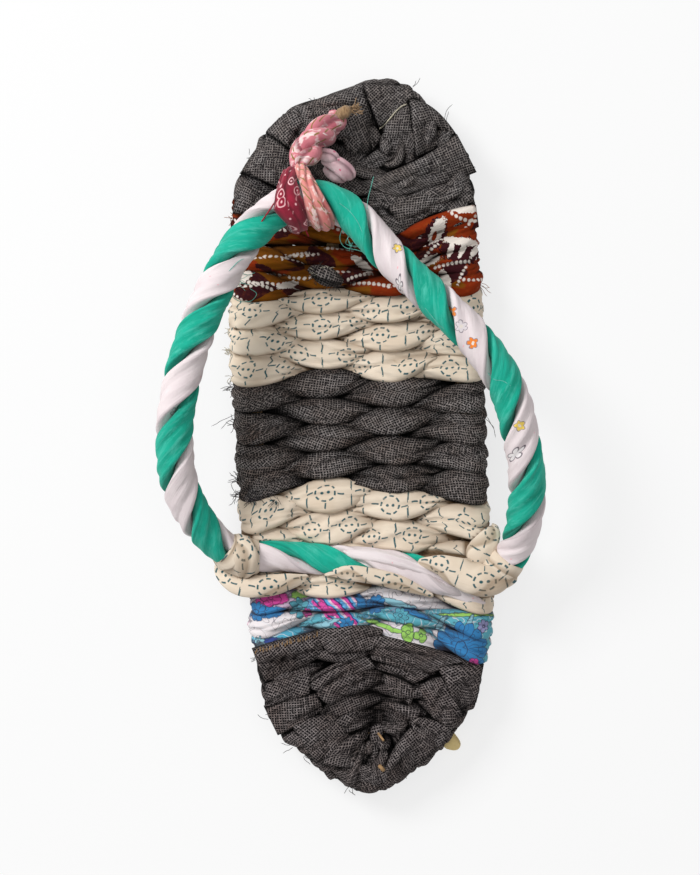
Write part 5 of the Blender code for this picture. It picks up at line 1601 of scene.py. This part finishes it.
# Loose threads that lie on the green strip: x, y.
MINT_ON_STRAP = (
    ((22.6, 41.6), (22.8, 37.6), (25.4, 34.4), (28.6, 34.4), (31.0, 36.0)),
    ((42.6, 19.0), (44.6, 16.6), (47.4, 16.0), (50.0, 14.2)),
    ((-4.4, 78.0), (-1.0, 75.0), (1.6, 71.2), (3.0, 67.6)),
    ((-46.0, 58.0), (-42.0, 60.6), (-37.0, 62.6), (-32.0, 64.0)),
    ((-42.0, 56.4), (-38.0, 60.0), (-34.0, 61.0)),
)
MINT_HAIRS = (
    (-40.0, 54.0, 33.0, 320.0, 45.0, 9, 6.0, 0.11), (-1.0, 65.5, 33.0, 250.0, 40.0, 4, 4.0, 0.11),
    (-62.0, 26.0, 36.0, 190.0, 60.0, 6, 3.0, 0.11), (53.0, 8.0, 39.0, 20.0, 60.0, 6, 3.0, 0.11),
)
RED_THREADS = (
    ((-24.0, 81.5, 39.0), (-26.4, 78.0, 39.5), (-29.4, 74.0, 39.0), (-32.6, 70.0, 37.0)),
    ((-16.4, 72.5, 36.0), (-16.0, 70.0, 32.0), (-15.0, 67.5, 28.0)),
)
SCRAP = ((19.0, -103.0, 4.0, 1.6), (24.6, -105.6, 5.2, 3.0), (29.0, -108.6, 4.0, 1.4))
# Tan slivers that show in the heel's hollow: from x, y to x, y, radius.
TAN_STICKS = ((1.0, -101.6, 3.0, -104.6, 0.42), (0.9, -112.4, 2.6, -114.4, 0.70))

grey = hair_shells(edge_tufts(GREY_EDGES) + list(WAIST_HAIRS), 41)
join_shells("grey_frays", grey, grey_thread, "grey_cloth")
over_heel = heights_over([woven_before[-1].data])
# Loose ends in a row along the selvage that lies across the heel's front.
SELVAGE_START, SELVAGE_STEP, SELVAGE_ENDS = (-39.6, -72.6), (0.86, 0.20), 26
chance = np.random.default_rng(51)
selvage = []
for step in range(SELVAGE_ENDS):
    x, y = (begin + pace * step for begin, pace in zip(SELVAGE_START, SELVAGE_STEP))
    x = x + chance.uniform(-0.3, 0.3)
    start = np.array((x, y + chance.uniform(-0.3, 0.6)))
    ahead = np.array((chance.uniform(-0.05, 0.12), 1.0)) * chance.uniform(0.7, 2.0)
    line = laid_on(over_heel, [start + ahead * part for part in (0.0, 0.5, 1.0)], 0.15)
    radius = chance.uniform(0.09, 0.16)
    if len(line) == 3:
        selvage.append(thread_shell(line, radius))
join_shells("selvage_frays", selvage, tan_thread, "grey_cloth")
grey_tuft = [loose_fold(TUFT, 57, 0.6, depth=1.2)] + hair_shells(TUFT_HAIRS, 43)
join_shells("grey_tuft", grey_tuft, waist_grey, "grey_cloth")
mint_lines = [laid_on(over_strap, line, 0.05) for line in MINT_ON_STRAP]
mint_lines += [np.array(line) for line in MINT_THREADS]
mint = [thread_shell(line, 0.12, 24) for line in mint_lines] + hair_shells(MINT_HAIRS, 45)
join_shells("mint_threads", mint, mint_thread, "green_cloth")
pale_line = laid_on(heights_over([woven_before[0].data]), PALE_LINE, 0.12)
pale = hair_shells(edge_tufts(PALE_EDGES) + list(PALE_TUFT), 47) + [thread_shell(pale_line, 0.26, 30)]
join_shells("pale_frays", pale, pale_thread, "cream_cloth")
join_shells("rust_frays", hair_shells(edge_tufts(RUST_EDGES), 49), rust_thread, "batik_cloth")
red = [thread_shell(np.array(line), 0.26, 20) for line in RED_THREADS]
join_shells("red_threads", red, red_thread, "crimson_cloth")
join_shells("yellow_scrap", [loose_fold(SCRAP, 61, 0.45)], yellow_cloth, "cream_cloth")
sticks = []
for *ends, radius in TAN_STICKS:
    line = laid_on(over_heel, (ends[:2], ((ends[0] + ends[2]) / 2, (ends[1] + ends[3]) / 2), ends[2:]), 0.3)
    sticks.append(thread_shell(line + ((0.0, 0.0, 0.0), (0.0, 0.0, 0.5), (0.0, 0.0, 0.0)), radius, 12, 8))
join_shells("tan_sticks", sticks, tan_thread, "tan_rope")
for node in ("warp_outer", "warp_inner"):
    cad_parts[node].data.materials.clear()
    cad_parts[node].data.materials.append(tan_rope)


# ---------------------------------------------------------------- floor, light and camera

floor_mesh = bmesh.new()
bmesh.ops.create_grid(floor_mesh, x_segments=1, y_segments=1, size=3.0)
floor_data = bpy.data.meshes.new("floor")
floor_mesh.to_mesh(floor_data)
floor_mesh.free()
floor_finish = bpy.data.materials.new("pale_paper")
floor_finish.use_nodes = True
floor_shader = floor_finish.node_tree.nodes["Principled BSDF"]
PAPER = {"Base Color": (0.20, 0.20, 0.20, 1.0), "Emission Color": (1.0, 1.0, 1.0, 1.0),
         "Emission Strength": 0.74, "Roughness": 0.95, "Specular IOR Level": 0.0}
for socket, setting in PAPER.items():
    floor_shader.inputs[socket].default_value = setting
floor_data.materials.append(floor_finish)
floor = bpy.data.objects.new("floor", floor_data)
bpy.context.scene.collection.objects.link(floor)


def soft_light(name, place, target, size, power):
    """A large square light that faces a point."""
    data = bpy.data.lights.new(name, "AREA")
    data.size = size
    data.energy = power
    lamp = bpy.data.objects.new(name, data)
    lamp.location = place
    lamp.rotation_mode = "QUATERNION"
    lamp.rotation_quaternion = (Vector(target) - Vector(place)).to_track_quat("-Z", "Y")
    bpy.context.scene.collection.objects.link(lamp)


soft_light("upper_left", (-0.85, 0.75, 0.95), (0.0, 0.0, 0.0), 0.55, 19.0)
soft_light("overhead", (0.1, 0.1, 1.9), (0.0, 0.0, 0.0), 1.8, 11.0)
world = bpy.data.worlds.new("room")
world.use_nodes = True
backdrop = world.node_tree.nodes["Background"].inputs
backdrop["Color"].default_value = (1.0, 1.0, 1.0, 1.0)
backdrop["Strength"].default_value = 0.36
bpy.context.scene.world = world
bpy.context.scene.view_settings.view_transform = "Standard"

SOLE_TOP = 0.015        # metres off the floor
CAMERA_HEIGHT = 1.12    # metres over the sole's top
VIEW_HEIGHT = 0.298     # metres that the view's height takes in there
CAMERA_TURN = -2.5      # degrees
low, high = CAD_BOX
camera_data = bpy.data.cameras.new("camera")
camera_data.sensor_width = 36.0
camera_data.lens = 36.0 * CAMERA_HEIGHT / VIEW_HEIGHT
camera = bpy.data.objects.new("camera", camera_data)
camera.location = ((low.x + high.x) / 2, (low.y + high.y) / 2, CAMERA_HEIGHT + SOLE_TOP)
camera.rotation_euler = (0.0, 0.0, math.radians(CAMERA_TURN))
bpy.context.scene.collection.objects.link(camera)
bpy.context.scene.camera = camera
